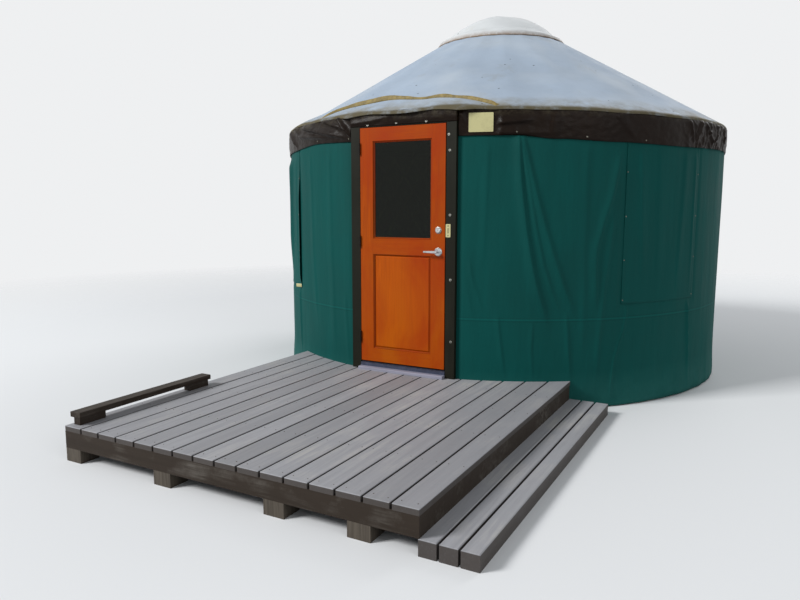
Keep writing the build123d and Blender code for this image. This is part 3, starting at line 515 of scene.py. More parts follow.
def roof_vinyl():
    """Pale coated cloth, dirty along its rim, with a few specks and stains that run down, and soft pale patches
    of painted sunlight.
    """
    material, tree = new_finish("roof_vinyl")
    dirt, out = colours().roof_dirt, distance_out(tree)
    colour = mottle(tree, cloud(tree, 1.7, 5.0, 0.6), colours().roof, 0.86, high=0.68)
    # painted light: soft pale patches stand for flecks of sunlight on the cloth
    pale = cloud(tree, 1.5, 3.0, 0.5, 0.3, stretch=(1, 1, 0.7))
    colour = mix(tree, span(tree, pale, 0.45, 0.75, 0.0, 0.3), colour, srgb(200, 204, 204))
    ragged = cloud(tree, 7.0, 6.0, 0.7)
    rim = times(tree, span(tree, out, 2.08, 2.30), span(tree, ragged, 0.34, 0.62), clamp=True)
    colour = mix(tree, times(tree, rim, 0.8), colour, dirt)
    edge = times(tree, span(tree, out, 2.268, 2.304), span(tree, ragged, 0.25, 0.5, 0.45, 0.95))
    colour = mix(tree, edge, colour, dim(dirt, 0.5))
    stain = cloud(tree, 3.1, 5.0, 0.7, stretch=(1, 1, 0.6))
    colour = mix(tree, span(tree, stain, 0.58, 0.78, 0.0, 0.35), colour, dim(dirt, 1.2))
    colour = speckle(tree, colour, 7.0, 0.075, srgb(58, 50, 38))
    normal = weave(tree, 380.0, 0.12, bumps(tree, cloud(tree, 2.6, 4.0), 0.5, 0.014))
    roughness = span(tree, ragged, 0.3, 0.7, 0.6, 0.75)
    return finish_surface(material, colour, roughness, normal, Specular_IOR_Level=0.12)


def valance_vinyl():
    """Dark brown coated cloth, with a soft gloss, crumpled, and grey with mildew at its top."""
    material, tree = new_finish("valance_vinyl")
    blotch = cloud(tree, 4.0, 5.0, 0.6)
    colour = mottle(tree, blotch, colours().valance, 0.75)
    mildew = times(tree, span(tree, place_on(tree, "Z"), 2.38, 2.44),
                   span(tree, cloud(tree, 14.0, 5.0, 0.7), 0.45, 0.72))
    colour = mix(tree, times(tree, mildew, 0.35), colour, srgb(104, 96, 74))
    normal = bumps(tree, cloud(tree, 9.0, 5.0, 0.6, stretch=(1, 1, 1.6)), 0.6, 0.012)
    return finish_surface(material, colour, span(tree, blotch, 0.3, 0.7, 0.34, 0.48),
                          weave(tree, 420.0, 0.12, normal), Specular_IOR_Level=0.1)


def cap_canvas():
    """Pale cloth with a brownish stitched rim and a few specks."""
    material, tree = new_finish("cap_canvas")
    colour = mottle(tree, cloud(tree, 3.0, 5.0, 0.6), colours().cap, 0.9)
    grime = span(tree, cloud(tree, 18.0, 5.0, 0.7), 0.3, 0.55, 0.3, 1.0)
    edge = times(tree, span(tree, distance_out(tree), 0.664, 0.692), grime)
    colour = mix(tree, times(tree, edge, 0.85), colour, srgb(122, 98, 76))
    colour = speckle(tree, colour, 5.0, 0.07, srgb(52, 44, 34))
    stain = span(tree, cloud(tree, 5.0, 6.0, 0.7), 0.6, 0.8, 0.0, 0.4)
    colour = mix(tree, stain, colour, srgb(186, 176, 150))
    normal = weave(tree, 350.0, 0.15, bumps(tree, cloud(tree, 9.0, 4.0), 0.3, 0.006))
    return finish_surface(material, colour, 0.62, normal)


def clear_vinyl():
    """Clear window sheet with a slight haze."""
    material, tree = new_finish("clear_vinyl")
    haze = span(tree, cloud(tree, 6.0, 4.0), 0.3, 0.7, 0.06, 0.2)
    normal = bumps(tree, cloud(tree, 3.0), 0.3, 0.01)
    return finish_surface(material, srgb(226, 230, 226), haze, normal, Transmission_Weight=0.92, IOR=1.45)


def webbing(name, colour, dark):
    """Tan webbing or tape, grubby in patches."""
    material, tree = new_finish(name)
    shade = mix(tree, span(tree, cloud(tree, 22.0, 6.0, 0.7), 0.4, 0.7), dark, colour)
    return finish_surface(material, shade, 0.7, weave(tree, 500.0, 0.3, distance=0.0008))


def strip_webbing():
    return webbing("strip_webbing", colours().strip, dim(colours().strip, 0.5))


def worn_webbing():
    return webbing("cap_webbing", srgb(140, 118, 92), srgb(92, 72, 54))


def grain(axis, fine=34.0, along=1.6):
    """Scale that draws a noise out along a board's grain."""
    return [along if name == axis else fine for name in "XYZ"]


def timber(name, axis, colour, dark, roughness=(0.55, 0.75), coat=0.0, gloss=0.3, contrast=1.0, blush=None):
    """Softwood with its grain along one axis, under a clear coat or with a second stain if given one."""
    material, tree = new_finish(name)
    rings = cloud(tree, 1.0, 6.0, 0.62, 1.4, grain(axis))
    fibre = cloud(tree, 1.0, 4.0, 0.7, stretch=grain(axis, 190.0, 4.0))
    tone = cloud(tree, 1.0, 3.0, stretch=grain(axis, 5.0, 0.5))
    shade = mix(tree, span(tree, rings, 0.32, 0.7, 0.0, contrast), colour, dark)
    shade = mix(tree, span(tree, tone, 0.3, 0.7, 0.0, 0.4), shade, dim(colour, 0.72))
    if blush:
        patch = cloud(tree, 2.6, 4.0, 0.55, 0.5, (1, 1, 0.6))
        # more orange towards the foot, from 1.7 m down to 0.6 m
        oranger_low_down = span(tree, place_on(tree, "Z"), 1.7, 0.6, 0.0, 0.55)
        shade = mix(tree, oranger_low_down, shade, (colour[0] * 1.05, colour[1] * 1.5, colour[2]))
        shade = mix(tree, span(tree, patch, 0.38, 0.66, 0.0, 0.8), shade, blush)
    shade = mix(tree, span(tree, fibre, 0.5, 0.85, 0.0, 0.3), shade, dark)
    normal = bumps(tree, fibre, 0.12, 0.0008, bumps(tree, rings, 0.16))
    return finish_surface(material, shade, span(tree, rings, 0.3, 0.7, *roughness), normal,
                          Coat_Weight=coat, Coat_Roughness=0.22, Specular_IOR_Level=gloss)


def door_timber(axis, paleness=1.0):
    """Orange stained and varnished timber."""
    name = f"door_timber_{axis.lower()}_{round(100 * paleness)}"
    return timber(name, axis, dim(colours().door, paleness), colours().door_grain,
                  (0.3, 0.45), 0.04, 0.1, 0.6, srgb(150, 46, 2))


def frame_timber(axis):
    return timber("frame_timber_" + axis.lower(), axis, colours().timber, dim(colours().timber, 0.55))


# weathered timber, made darker still as painted shade for its place under the deck
def old_timber_in_shade(axis):
    return timber("old_timber_in_shade_" + axis.lower(), axis, srgb(86, 78, 68), srgb(54, 48, 41))


def worn_paint(name, axis, colour, wear, amount, roughness=(0.5, 0.72), gloss=0.25, top=None,
               board_tone=False):
    """Paint over timber, worn along the grain and dusty.

    Boards may carry a tone of their own, and below the height of their top face they take the fascia's dark
    colour as painted shade on their sides and ends.
    """
    material, tree = new_finish(name)
    rings = cloud(tree, 1.0, 6.0, 0.66, 1.0, grain(axis, 26.0, 1.3))
    patches = cloud(tree, 2.4, 6.0, 0.68)
    base = mottle(tree, rings, colour, 0.8, 0.3)
    worn = times(tree, span(tree, patches, 0.46, 0.68), span(tree, rings, 0.42, 0.62), clamp=True)
    base = mix(tree, times(tree, worn, amount), base, wear)
    if board_tone:
        tone = node(tree, "ShaderNodeAttribute", attribute_name="tone").outputs["Fac"]
        base = mix(tree, tone, base, dim(colour, 0.62))
    # painted shade: below the top face, the sides and ends take the dark fascia colour
    if top is not None:
        side = span(tree, place_on(tree, "Z"), top - 0.0038, top - 0.006, 0.0, 0.9)
        base = mix(tree, side, base, colours().fascia)
    grit = cloud(tree, 90.0, 4.0, 0.7)
    base = mix(tree, span(tree, grit, 0.55, 0.85, 0.0, 0.3), base, dim(colour, 0.5))
    normal = bumps(tree, grit, 0.2, 0.001, bumps(tree, rings, 0.3))
    return finish_surface(material, base, span(tree, patches, 0.3, 0.7, *roughness), normal,
                          Specular_IOR_Level=gloss)


def frame_paint(axis):
    """Near-black brown paint of the door frame, with a low sheen."""
    dark = colours().door_frame
    return worn_paint("frame_paint_" + axis.lower(), axis, dark, dim(dark, 2.4), 0.22, (0.36, 0.52), 0.13)


def deck_paint(name, top, board_tone=False):
    """Grey paint of boards along Y, worn pale in patches, with painted shade on their sides and ends below the
    top face.
    """
    return worn_paint(name, "Y", colours().deck, colours().deck_wear, 0.55, (0.5, 0.7),
                      top=top, board_tone=board_tone)


def fascia_paint(axis):
    """Dark brown grey paint of the porch's sides and kerb."""
    name = "fascia_paint_" + axis.lower()
    return worn_paint(name, axis, colours().fascia, colours().deck_wear, 0.15, gloss=0.14)


def metal(name, colour, roughness):
    material, tree = new_finish(name)
    smear = cloud(tree, 40.0, 4.0, 0.6)
    normal = bumps(tree, cloud(tree, 1.0, 3.0, stretch=(60, 60, 900)), 0.12, 0.0004)
    return finish_surface(material, mottle(tree, smear, colour, 0.8),
                          span(tree, smear, 0.3, 0.7, roughness, roughness + 0.14), normal, Metallic=1.0)


def painted_plate():
    """Cream paint with faint stains, bare of any lettering."""
    material, tree = new_finish("plate_paint")
    stain = cloud(tree, 16.0, 6.0, 0.7)
    colour = mix(tree, span(tree, stain, 0.46, 0.75, 0.0, 0.5), colours().plate, srgb(158, 148, 108))
    return finish_surface(material, colour, span(tree, stain, 0.3, 0.7, 0.35, 0.55),
                          bumps(tree, cloud(tree, 60.0), 0.12, 0.001))


def window_glass():
    """Slightly green glass with smears, tinted dark as painted shade of the dim room behind it."""
    material, tree = new_finish("door_glass")
    smear = cloud(tree, 2.0, 5.0, 0.6, stretch=(3, 3, 1.2))
    # painted shade: the dark tint stands for the dim room seen through the glass
    return finish_surface(material, srgb(66, 80, 56), span(tree, smear, 0.45, 0.75, 0.02, 0.12),
                          bumps(tree, cloud(tree, 2.2, 2.0), 0.12, 0.01),
                          Transmission_Weight=0.97, IOR=1.28, Specular_IOR_Level=0.1)


def floor_boards():
    """Board floor with dark joints along Y."""
    material, tree = new_finish("floor_boards")
    rings = cloud(tree, 1.0, 6.0, 0.62, 1.2, grain("Y", 30.0, 1.4))
    colour = mix(tree, span(tree, rings, 0.3, 0.7), srgb(176, 146, 106), srgb(134, 104, 70))
    joint = span(tree, maths(tree, "PINGPONG", place_on(tree, "X"), 0.07), 0.0, 0.003, 1.0, 0.0)
    colour = mix(tree, joint, colour, srgb(38, 30, 22))
    normal = bumps(tree, maths(tree, "SUBTRACT", rings, joint), 0.3, 0.003)
    return finish_surface(material, colour, 0.55, normal)


# Pieces

class YURT_OT_wall_cover(bpy.types.Operator):
    """Make the wall cover, one cloth round the lattice with its folds, seams and window openings"""
    bl_idname = "yurt.wall_cover"
    bl_label = "Wall cover"

    THICKNESS = 0.008
    FOLDS = (  # azimuths and heights down the fold, width, rise as a share of the deepest, lean
        (((24.5, 2.26), (25.2, 1.89), (26.5, 1.49), (28.0, 1.17), (29.1, 1.00), (31.6, 0.70)), 0.012, 1.15, 4.0),
        (((25.2, 2.26), (28.3, 1.79), (30.5, 1.49), (32.4, 1.25), (34.7, 1.00), (37.6, 0.76)), 0.015, 0.9, 2.6),
        (((25.1, 2.20), (26.8, 1.85), (28.5, 1.49), (30.2, 1.20), (31.9, 1.00), (34.2, 0.78)), 0.010, 0.45, 2.0),
        (((45.9, 2.10), (44.3, 1.77), (42.8, 1.59), (41.2, 1.35), (41.0, 1.20), (41.6, 0.80)), 0.018, 0.8, 2.4),
        (((44.9, 1.60), (43.4, 1.10), (42.4, 0.55), (42.2, 0.25)), 0.018, 0.45, 2.0),
        (((15.0, 1.25), (15.9, 1.08), (18.6, 0.78)), 0.010, 0.40, 2.0),
        (((14.6, 1.00), (15.6, 0.86), (17.0, 0.70)), 0.010, 0.30, 2.0),
        (((21.0, 0.80), (21.7, 0.57), (22.9, 0.24)), 0.012, 0.40, 2.0),
        (((35.1, 0.80), (35.7, 0.55), (36.5, 0.22)), 0.012, 0.40, 2.0),
        (((28.2, 0.74), (28.0, 0.50), (28.6, 0.22)), 0.012, 0.30, 2.0),
        (((38.5, 2.18), (38.4, 1.30), (38.9, 0.40)), 0.028, 0.30, 1.4),
        (((18.6, 2.18), (18.2, 1.60), (17.6, 1.10)), 0.020, 0.25, 2.0),
        (((67.9, 0.86), (68.8, 0.50), (70.0, 0.08)), 0.012, 0.90, 1.6),
        (((49.0, 0.87), (48.1, 0.65), (47.1, 0.54), (46.0, 0.38), (45.6, 0.20), (45.4, 0.05)), 0.007, 0.55, 1.2),
        (((-20.5, 2.20), (-20.2, 1.40), (-19.2, 0.35)), 0.020, 0.40, 2.4),
        (((-29.5, 2.20), (-28.6, 1.30), (-27.0, 0.60)), 0.022, 0.30, 2.2),
        (((-15.5, 0.90), (-14.8, 0.55), (-14.2, 0.20)), 0.016, 0.40, 2.0),
        (((-38.4, 0.87), (-37.9, 0.62), (-37.4, 0.15)), 0.010, 0.60, 1.8),
    )
    COLUMNS = ((DOOR_HALF, 216), (48.0, 9), (WINDOWS["right"] - WINDOW_HALF, 54),
               (WINDOWS["right"] + WINDOW_HALF, 54), (86.0, 56), (180.0, 72),
               (360 + WINDOWS["left"] - WINDOW_HALF, 50), (360 + WINDOWS["left"] + WINDOW_HALF, 118),
               (360 - DOOR_HALF, 0))
    ROWS = ((WALL_LOW.z, 30), (PANE_LOW.z, 32), (PANE_HIGH.z, 12), (WALL_HIGH.z, 0))

    @staticmethod
    def fold(azimuth, height, route, width, lean):
        """Rise of a fold from 0 to 1. One flank is steep and the other is lean times as wide."""
        top, foot = route[0][1], route[-1][1]
        past = 0.04  # how far it runs past its ends
        if not foot - past < height < top + past:
            return 0.0
        axis = route[-1][0]
        for (start, high), (end, low) in zip(route, route[1:]):
            if height > low:
                axis = blend(start, end, max((high - height) / (high - low), 0.0))
                break
        side = math.radians(azimuth - axis) * WALL_RADIUS
        flank = width if side > 0 else width * lean
        rise = math.exp(-(side / flank) ** 2) * ease((top + past - height) / 0.14)
        return rise * ease((height - foot + past) / 0.30)

    @staticmethod
    def clear_of_flaps(azimuth, height):
        """0 under a window flap, where the wall lies flat, and 1 away from it."""
        nearest = min(abs(azimuth - middle) for middle in WINDOWS.values())
        return max(ease((nearest - FLAP_HALF - 0.2) / 1.2), ease((FLAP_LOW.z - 0.004 - height) / 0.05))

    def rise(self, azimuth, height, depth):
        """How far the cloth stands outside the wall's true circle."""
        lift = sum(share * depth * self.fold(azimuth, height, route, width, lean)
                   for route, width, share, lean in self.FOLDS)
        lift += depth * 0.22 * lump(azimuth, height * 0.35, 0.21)
        lift += depth * 0.10 * lump(azimuth, height, 0.5, 7.0)
        lift += depth * 0.5 * ease((0.30 - height) / 0.28) * lump(azimuth, 0, 0.16, 3.0)
        top = ease((2.33 - height) / 0.14)
        edge = ease((abs(azimuth) - DOOR_HALF) / 1.6)
        return lift * top * edge * self.clear_of_flaps(azimuth, height)

    @staticmethod
    def cut_windows(made):
        def in_window(face):
            middle = face.calc_center_median()
            azimuth = math.degrees(math.atan2(middle.x, -middle.y))
            beside = min(abs(azimuth - window) for window in WINDOWS.values())
            return beside < WINDOW_HALF and PANE_LOW.z < middle.z < PANE_HIGH.z
        bmesh.ops.delete(made, geom=[face for face in made.faces if in_window(face)], context="FACES")

    def execute(self, context):
        depth = sizes().fold_depth

        def place(turn, height):
            return polar(turn, WALL_RADIUS + self.rise(signed(turn), height, depth), height)

        made = draped_grid(stations(*self.COLUMNS), stations(*self.ROWS), place)
        self.cut_windows(made)
        make_sheet("wall_cloth", made, wall_vinyl, "wall_vinyl", self.THICKNESS, WALL_NODES,
                   flat=(WALL_LENGTH, WALL_HIGH.z - WALL_LOW.z), held="hung", rests_on=["lattice_outer_laths"])
        return {"FINISHED"}


class YURT_OT_window_flaps(bpy.types.Operator):
    """Make the two cloth flaps that are rolled down over the windows, with their edge tapes"""
    bl_idname = "yurt.window_flaps"
    bl_label = "Window flaps"

    THICKNESS = 0.0018
    FOLDS = {  # azimuth and height of both ends, width, rise as a share of the depth
        "right": (((50.5, 2.28), (52.5, 1.0), 0.020, 0.8), ((56.0, 2.25), (57.0, 0.9), 0.03, 0.6),
                  ((64.5, 2.25), (63.0, 0.9), 0.024, 0.8), ((68.2, 2.2), (68.4, 0.9), 0.016, 0.7)),
        "left": (((-46.0, 2.2), (-47.7, 1.0), 0.022, 2.2), ((-41.0, 2.25), (-40.0, 0.95), 0.018, 0.8),
                 ((-51.6, 2.25), (-50.4, 1.2), 0.020, 1.6), ((-56.0, 2.1), (-54.4, 0.95), 0.022, 1.8)),
    }
    LEAN = 2.4  # how many times as wide a fold's soft flank is
    TAPE = 0.020  # width of the tape along both sides and the foot
    TAPE_PROUD = 0.0014
    LOOSE = {"right": 0.0, "left": 0.018}  # how far the edge towards the door stands off the wall
    TAB = (-37.15, 0.064, 40.0)  # azimuth of its sewn end, length, and tilt off the wall in degrees
    TAB_HEIGHTS = (0.872, 0.906)
    TAB_THICKNESS = 0.0016

    def flap(self, side, middle, depth):
        low, high = FLAP_LOW.z, FLAP_HIGH.z
        width = math.radians(2 * FLAP_HALF) * WALL_RADIUS
        folds = [(*row, self.LEAN) for row in self.FOLDS[side]]

        def place(across, height):
            azimuth = middle + (2 * across - 1) * FLAP_HALF
            inside = min(across, 1 - across) * width
            lift = creases(azimuth, height, folds, depth)
            lift += depth * 0.3 * lump(azimuth, height * 0.5, 0.2, 4.0)
            lift *= ease((high - 0.10 - height) / 0.12) * (0.35 + 0.65 * ease(inside / 0.08))
            loose = ease((across - 0.90) / 0.10) * ease((height - low) / 0.12)
            loose *= ease((high - 0.20 - height) / 0.4)
            tape = self.TAPE_PROUD if inside < self.TAPE or height - low < self.TAPE else 0.0
            return polar(azimuth, FLAP_RADIUS + lift + self.LOOSE[side] * loose + tape, height)

        made = draped_grid(stations((0.0, 110), (1.0, 0)), stations((low, 72), (high, 0)), place)
        make_sheet("window_flap_cloth_" + side, made, wall_vinyl, "wall_vinyl", self.THICKNESS,
                   ["window_flap_" + side], flat=(width, high - low), held="hung", rests_on=["wall_cloth"])

    def tab(self):
        """Webbing tab sewn to the left flap's lower corner, which stands out towards the door."""
        azimuth, length, tilt = self.TAB
        low, high = self.TAB_HEIGHTS
        root = polar(azimuth, cloth_radius("window_flap_cloth_left", azimuth, 0.89) + 0.0005, 0.0)
        away = Matrix.Rotation(math.radians(azimuth + tilt), 3, "Z") @ Vector((-1, 0, 0))

        def place(share, height):
            out = away * length * ease(share * 1.2 + 0.02) * (0.3 + 0.7 * share)
            return root + out + Vector((0, 0, height))

        made = draped_grid(stations((0.0, 10), (1.0, 0)), stations((low, 4), (high, 0)), place)
        make_sheet("flap_tab", made, painted_plate, "wall_vinyl", self.TAB_THICKNESS,
                   flat=(length, 0.034), held="stretched", rests_on=["window_flap_cloth_left"])

    def execute(self, context):
        for side, middle in WINDOWS.items():
            self.flap(side, middle, sizes().fold_depth * 0.7)
        self.tab()
        return {"FINISHED"}


class YURT_OT_valance(bpy.types.Operator):
    """Make the brown band under the eave and its strip across the door's header"""
    bl_idname = "yurt.valance"
    bl_label = "Valance"

    THICKNESS = 0.002
    PULLS = (  # azimuth and height of both ends of a fold, width, rise in crumples, lean
        ((-17.4, 2.47), (-12.3, 2.265), 0.012, 3.2, 2.2),
        ((-33.0, 2.43), (-12.6, 2.262), 0.014, 3.6, 2.6),
        ((-35.5, 2.35), (-19.0, 2.29), 0.012, 2.8, 2.2),
        ((-24.0, 2.47), (-13.0, 2.33), 0.012, 2.4, 2.0),
        ((-44.0, 2.44), (-37.0, 2.24), 0.014, 2.6, 1.8),
        ((-39.0, 2.46), (-33.5, 2.33), 0.012, 2.4, 2.0),
        ((12.9, 2.43), (15.8, 2.24), 0.012, 1.6, 1.8),
        ((19.6, 2.33), (28.0, 2.36), 0.014, 1.6, 2.2),
        ((15.0, 2.27), (33.0, 2.25), 0.016, 1.3, 2.0),
        ((31.5, 2.42), (31.0, 2.22), 0.018, 1.0, 2.4),
        ((44.0, 2.42), (49.5, 2.20), 0.018, 0.8, 2.4),
        ((64.5, 2.41), (66.5, 2.20), 0.012, 1.3, 1.6),
        ((69.5, 2.42), (67.0, 2.22), 0.012, 1.4, 1.8),
        ((71.0, 2.41), (76.0, 2.21), 0.012, 1.8, 1.6),
        ((78.5, 2.41), (76.0, 2.22), 0.012, 1.6, 1.8),
        ((83.0, 2.41), (84.5, 2.22), 0.014, 1.6, 2.0),
        ((-70.0, 2.41), (-66.0, 2.20), 0.020, 0.9, 2.2),
        ((-98.0, 2.41), (-101.0, 2.20), 0.022, 0.9, 2.2),
        ((108.0, 2.41), (112.0, 2.20), 0.022, 0.9, 2.2),
        ((141.0, 2.41), (138.0, 2.20), 0.022, 0.9, 2.2),
        ((-142.0, 2.41), (-139.0, 2.20), 0.022, 0.9, 2.2),
    )
    BOTTOMS = ((-180, 2.200), (-100, 2.200), (-60, 2.210), (-40, 2.228), (-25, 2.254), (-12.6, 2.242),
               (12.6, 2.243), (24, 2.240), (32, 2.212), (45, 2.194), (62, 2.184), (84, 2.196), (180, 2.200))
    COLUMNS = ((DOOR_HALF + 0.1, 200), (40.0, 310), (92.0, 70), (180.0, 70), (290.0, 260),
               (359.9 - DOOR_HALF, 0))
    STRIP_BOTTOM = 2.3585
    HEM = 0.022  # height of the sewn hem
    HEM_PROUD = 0.0012
    RETURNS = 0.032  # how far the strip turns back at the header's corners

    def rise(self, azimuth, height, low, high, depth):
        lift = creases(azimuth, height, self.PULLS, depth)
        lift += depth * 0.45 * lump(azimuth, height * 0.6, 0.13, 2.0)
        lift += depth * 0.28 * lump(azimuth, height * 1.4, 0.05, 5.0)
        lift += depth * 0.7 * max(math.sin(math.pi * (height - low) / (high - low)), 0.0) ** 0.8
        crushed = ease((azimuth - 60) / 9) * ease((91 - azimuth) / 6)
        ridge = 1 - abs(wander(*polar(azimuth, WALL_RADIUS, height), 0.07, 11.0))
        lift += depth * 1.3 * crushed * ridge**3
        hem = self.HEM_PROUD if height < low + self.HEM else 0.0
        return (lift * ease((high + 0.004 - height) / 0.03) + hem) * self.clear_of_plate(azimuth, height)

    @staticmethod
    def clear_of_plate(azimuth, height):
        """0 behind the blank plate, and 1 away from it."""
        beside = ease((abs(azimuth - SIGN_AZIMUTH) - 2.7) / 1.6)
        return max(beside, ease((SIGN_BOTTOM - 0.006 - height) / 0.02))

    def ring(self, depth):
        def place(turn, up):
            azimuth = signed(turn)
            foot = polar(azimuth, WALL_RADIUS, 0.0)
            low = from_table(self.BOTTOMS, azimuth) + 0.002 * wander(*foot, 0.3, 9.0)
            high = VALANCE_HIGH.z + rim_lift(azimuth)
            height = blend(low, high, up)
            return polar(azimuth, VALANCE_RADIUS + self.rise(azimuth, height, low, high, depth), height)

        made = draped_grid(stations(*self.COLUMNS), stations((0.0, 26), (1.0, 0)), place)
        make_sheet("valance_cloth", made, valance_vinyl, "valance_vinyl", self.THICKNESS, ["valance"],
                   flat=(WALL_LENGTH, VALANCE_HIGH.z - VALANCE_LOW.z), held="hung", rests_on=["roof_cover"])

    def strip(self, depth):
        """The band's shallow part, which runs across the header and back at its corners."""
        reach = HEADER_HIGH.x + 0.0025
        front = HEADER_LOW.y - 0.0036
        flat = 2 * (reach + self.RETURNS)

        def place(along, up):
            azimuth = math.degrees(math.atan2(along, -front))
            radius = math.hypot(max(-reach, min(along, reach)), front)
            height = blend(self.STRIP_BOTTOM, roof_place(azimuth, radius, 0.0).z - 0.005, up)
            loose = ease(up / 0.35) * (1 - 0.6 * ease((up - 0.75) / 0.25))
            wave = depth * 0.55 * loose * (1 + wander(along, 0.0, height * 0.5, 0.09, 4.0))
            wave += crease(along, height, (-0.52, 2.37), (-0.05, 2.43), 0.012, depth * 0.9, 2.0) * loose
            if abs(along) < reach:
                return Vector((along, front - wave, height))
            return Vector((math.copysign(reach + wave * 0.2, along), front + abs(along) - reach, height))

        made = draped_grid(stations((-flat / 2, 180), (flat / 2, 0)), stations((0.0, 12), (1.0, 0)), place)
        make_sheet("valance_door_strip", made, valance_vinyl, "valance_vinyl", self.THICKNESS,
                   flat=(flat, 0.12), held="stretched", rests_on=["door_header"])

    def execute(self, context):
        self.ring(sizes().crumple)
        self.strip(sizes().crumple)
        return {"FINISHED"}


class YURT_OT_roof_cover(bpy.types.Operator):
    """Make the roof cover, stretched over the rafters and rolled over the eave"""
    bl_idname = "yurt.roof_cover"
    bl_label = "Roof cover"

    THICKNESS = 0.0018
    OVER_HEADER = 0.014  # how far the eave stands out in front of the header
    LIP_DROP = 0.020
    LIP_BULGE = 0.0025
    FLUTTER = 0.004  # how far the lip waves in and out
    COLUMNS = ((0.0, 190), (90.0, 70), (180.0, 70), (270.0, 190), (360.0, 0))
    ROWS = ((0.0, 24), (0.76, 22), (1.0, 3), (2.0, 0))  # shares of the slope, and past 1 of the turned lip

    def edge_radius(self, azimuth):
        """Radius of the eave, pushed out where it passes over the header's corners."""
        away = abs(azimuth)
        corner = (self.OVER_HEADER - HEADER_LOW.y) / math.cos(math.radians(min(away, DOOR_HALF)))
        held = corner if away < DOOR_HALF else blend(corner, EAVE_RADIUS, ease((away - DOOR_HALF) / 5.0))
        return max(EAVE_RADIUS, held)

    def execute(self, context):
        sag = sizes().roof_sag

        def place(turn, down):
            azimuth = signed(turn)
            edge = self.edge_radius(azimuth)
            spot = roof_place(azimuth, blend(ROOF_TOP_RADIUS, edge, min(down, 1.0)), sag)
            if down <= 1:
                return spot
            lip = down - 1
            flutter = self.FLUTTER * (1 + wander(*polar(azimuth, edge, 0.0), 0.11, 6.0)) * lip
            radius = edge + self.LIP_BULGE * math.sin(lip * math.pi / 2) + flutter
            return polar(azimuth, radius, spot.z - self.LIP_DROP * lip)

        made = draped_grid(stations(*self.COLUMNS), stations(*self.ROWS), place)
        bmesh.ops.remove_doubles(made, verts=made.verts, dist=0.0004)
        slant = math.hypot(EAVE_RADIUS - ROOF_TOP_RADIUS, (EAVE_RADIUS - ROOF_TOP_RADIUS) * SLOPE)
        make_sheet("roof_cloth", made, roof_vinyl, "roof_vinyl", self.THICKNESS, ["roof_cover"],
                   flat=(4.7, 4.7), area=math.pi * slant * (EAVE_RADIUS + ROOF_TOP_RADIUS),
                   held="stretched", rests_on=["rafters", "crown_ring"])
        return {"FINISHED"}


class YURT_OT_rain_strip(bpy.types.Operator):
    """Make the webbing strip on the roof that leads rain past the door"""
    bl_idname = "yurt.rain_strip"
    bl_label = "Rain strip"

    ROUTE = (  # azimuth and radius on the roof, listed from left to right
        (-24.6, 2.300), (-23.6, 2.240), (-22.1, 2.140), (-19.8, 2.062), (-17.3, 2.022), (-13.5, 1.998),
        (-9.7, 1.990), (-3.7, 2.004), (2.7, 2.048), (6.0, 2.045), (10.4, 2.084), (14.2, 2.144),
        (16.5, 2.188), (19.2, 2.244), (20.3, 2.280),
    )
    SWELLS = ((-24.6, 0.4), (-22.0, 0.75), (-17.0, 1.1), (-8.0, 1.15), (-3.0, 0.75), (1.0, 0.45), (4.0, 0.6),
              (8.0, 0.9), (11.0, 0.6), (14.0, 0.8), (20.3, 0.7))  # its width at azimuths along it
    HEIGHT = 0.030  # of the hump across it
    THICKNESS = 0.0012

    def execute(self, context):
        width = sizes().strip_width
        points = smooth_line([roof_place(*spot, sizes().roof_sag) for spot in self.ROUTE], 10)
        last = len(points) - 1

        def place(index, across):
            here = points[index]
            ahead = points[min(index + 1, last)] - points[max(index - 1, 0)]
            up = Vector((here.x, here.y, 0)).normalized() * SLOPE + Vector((0, 0, 1))
            up.normalize()
            side = ahead.cross(up).normalized()
            swell = from_table(self.SWELLS, math.degrees(math.atan2(here.x, -here.y)))
            hump = math.sin(math.pi * across) * ease(min(index, last - index) / 12)
            return here + side * (across - 0.5) * width * swell + up * (self.HEIGHT * hump * swell - 0.001)

        made = draped_grid(range(len(points)), stations((0.0, 8), (1.0, 0)), place)
        length = sum((ahead - here).length for here, ahead in zip(points, points[1:]))
        make_sheet("rain_strip", made, strip_webbing, "roof_vinyl", self.THICKNESS,
                   flat=(width * 1.15, length), held="stretched", rests_on=["roof_cloth"])
        return {"FINISHED"}


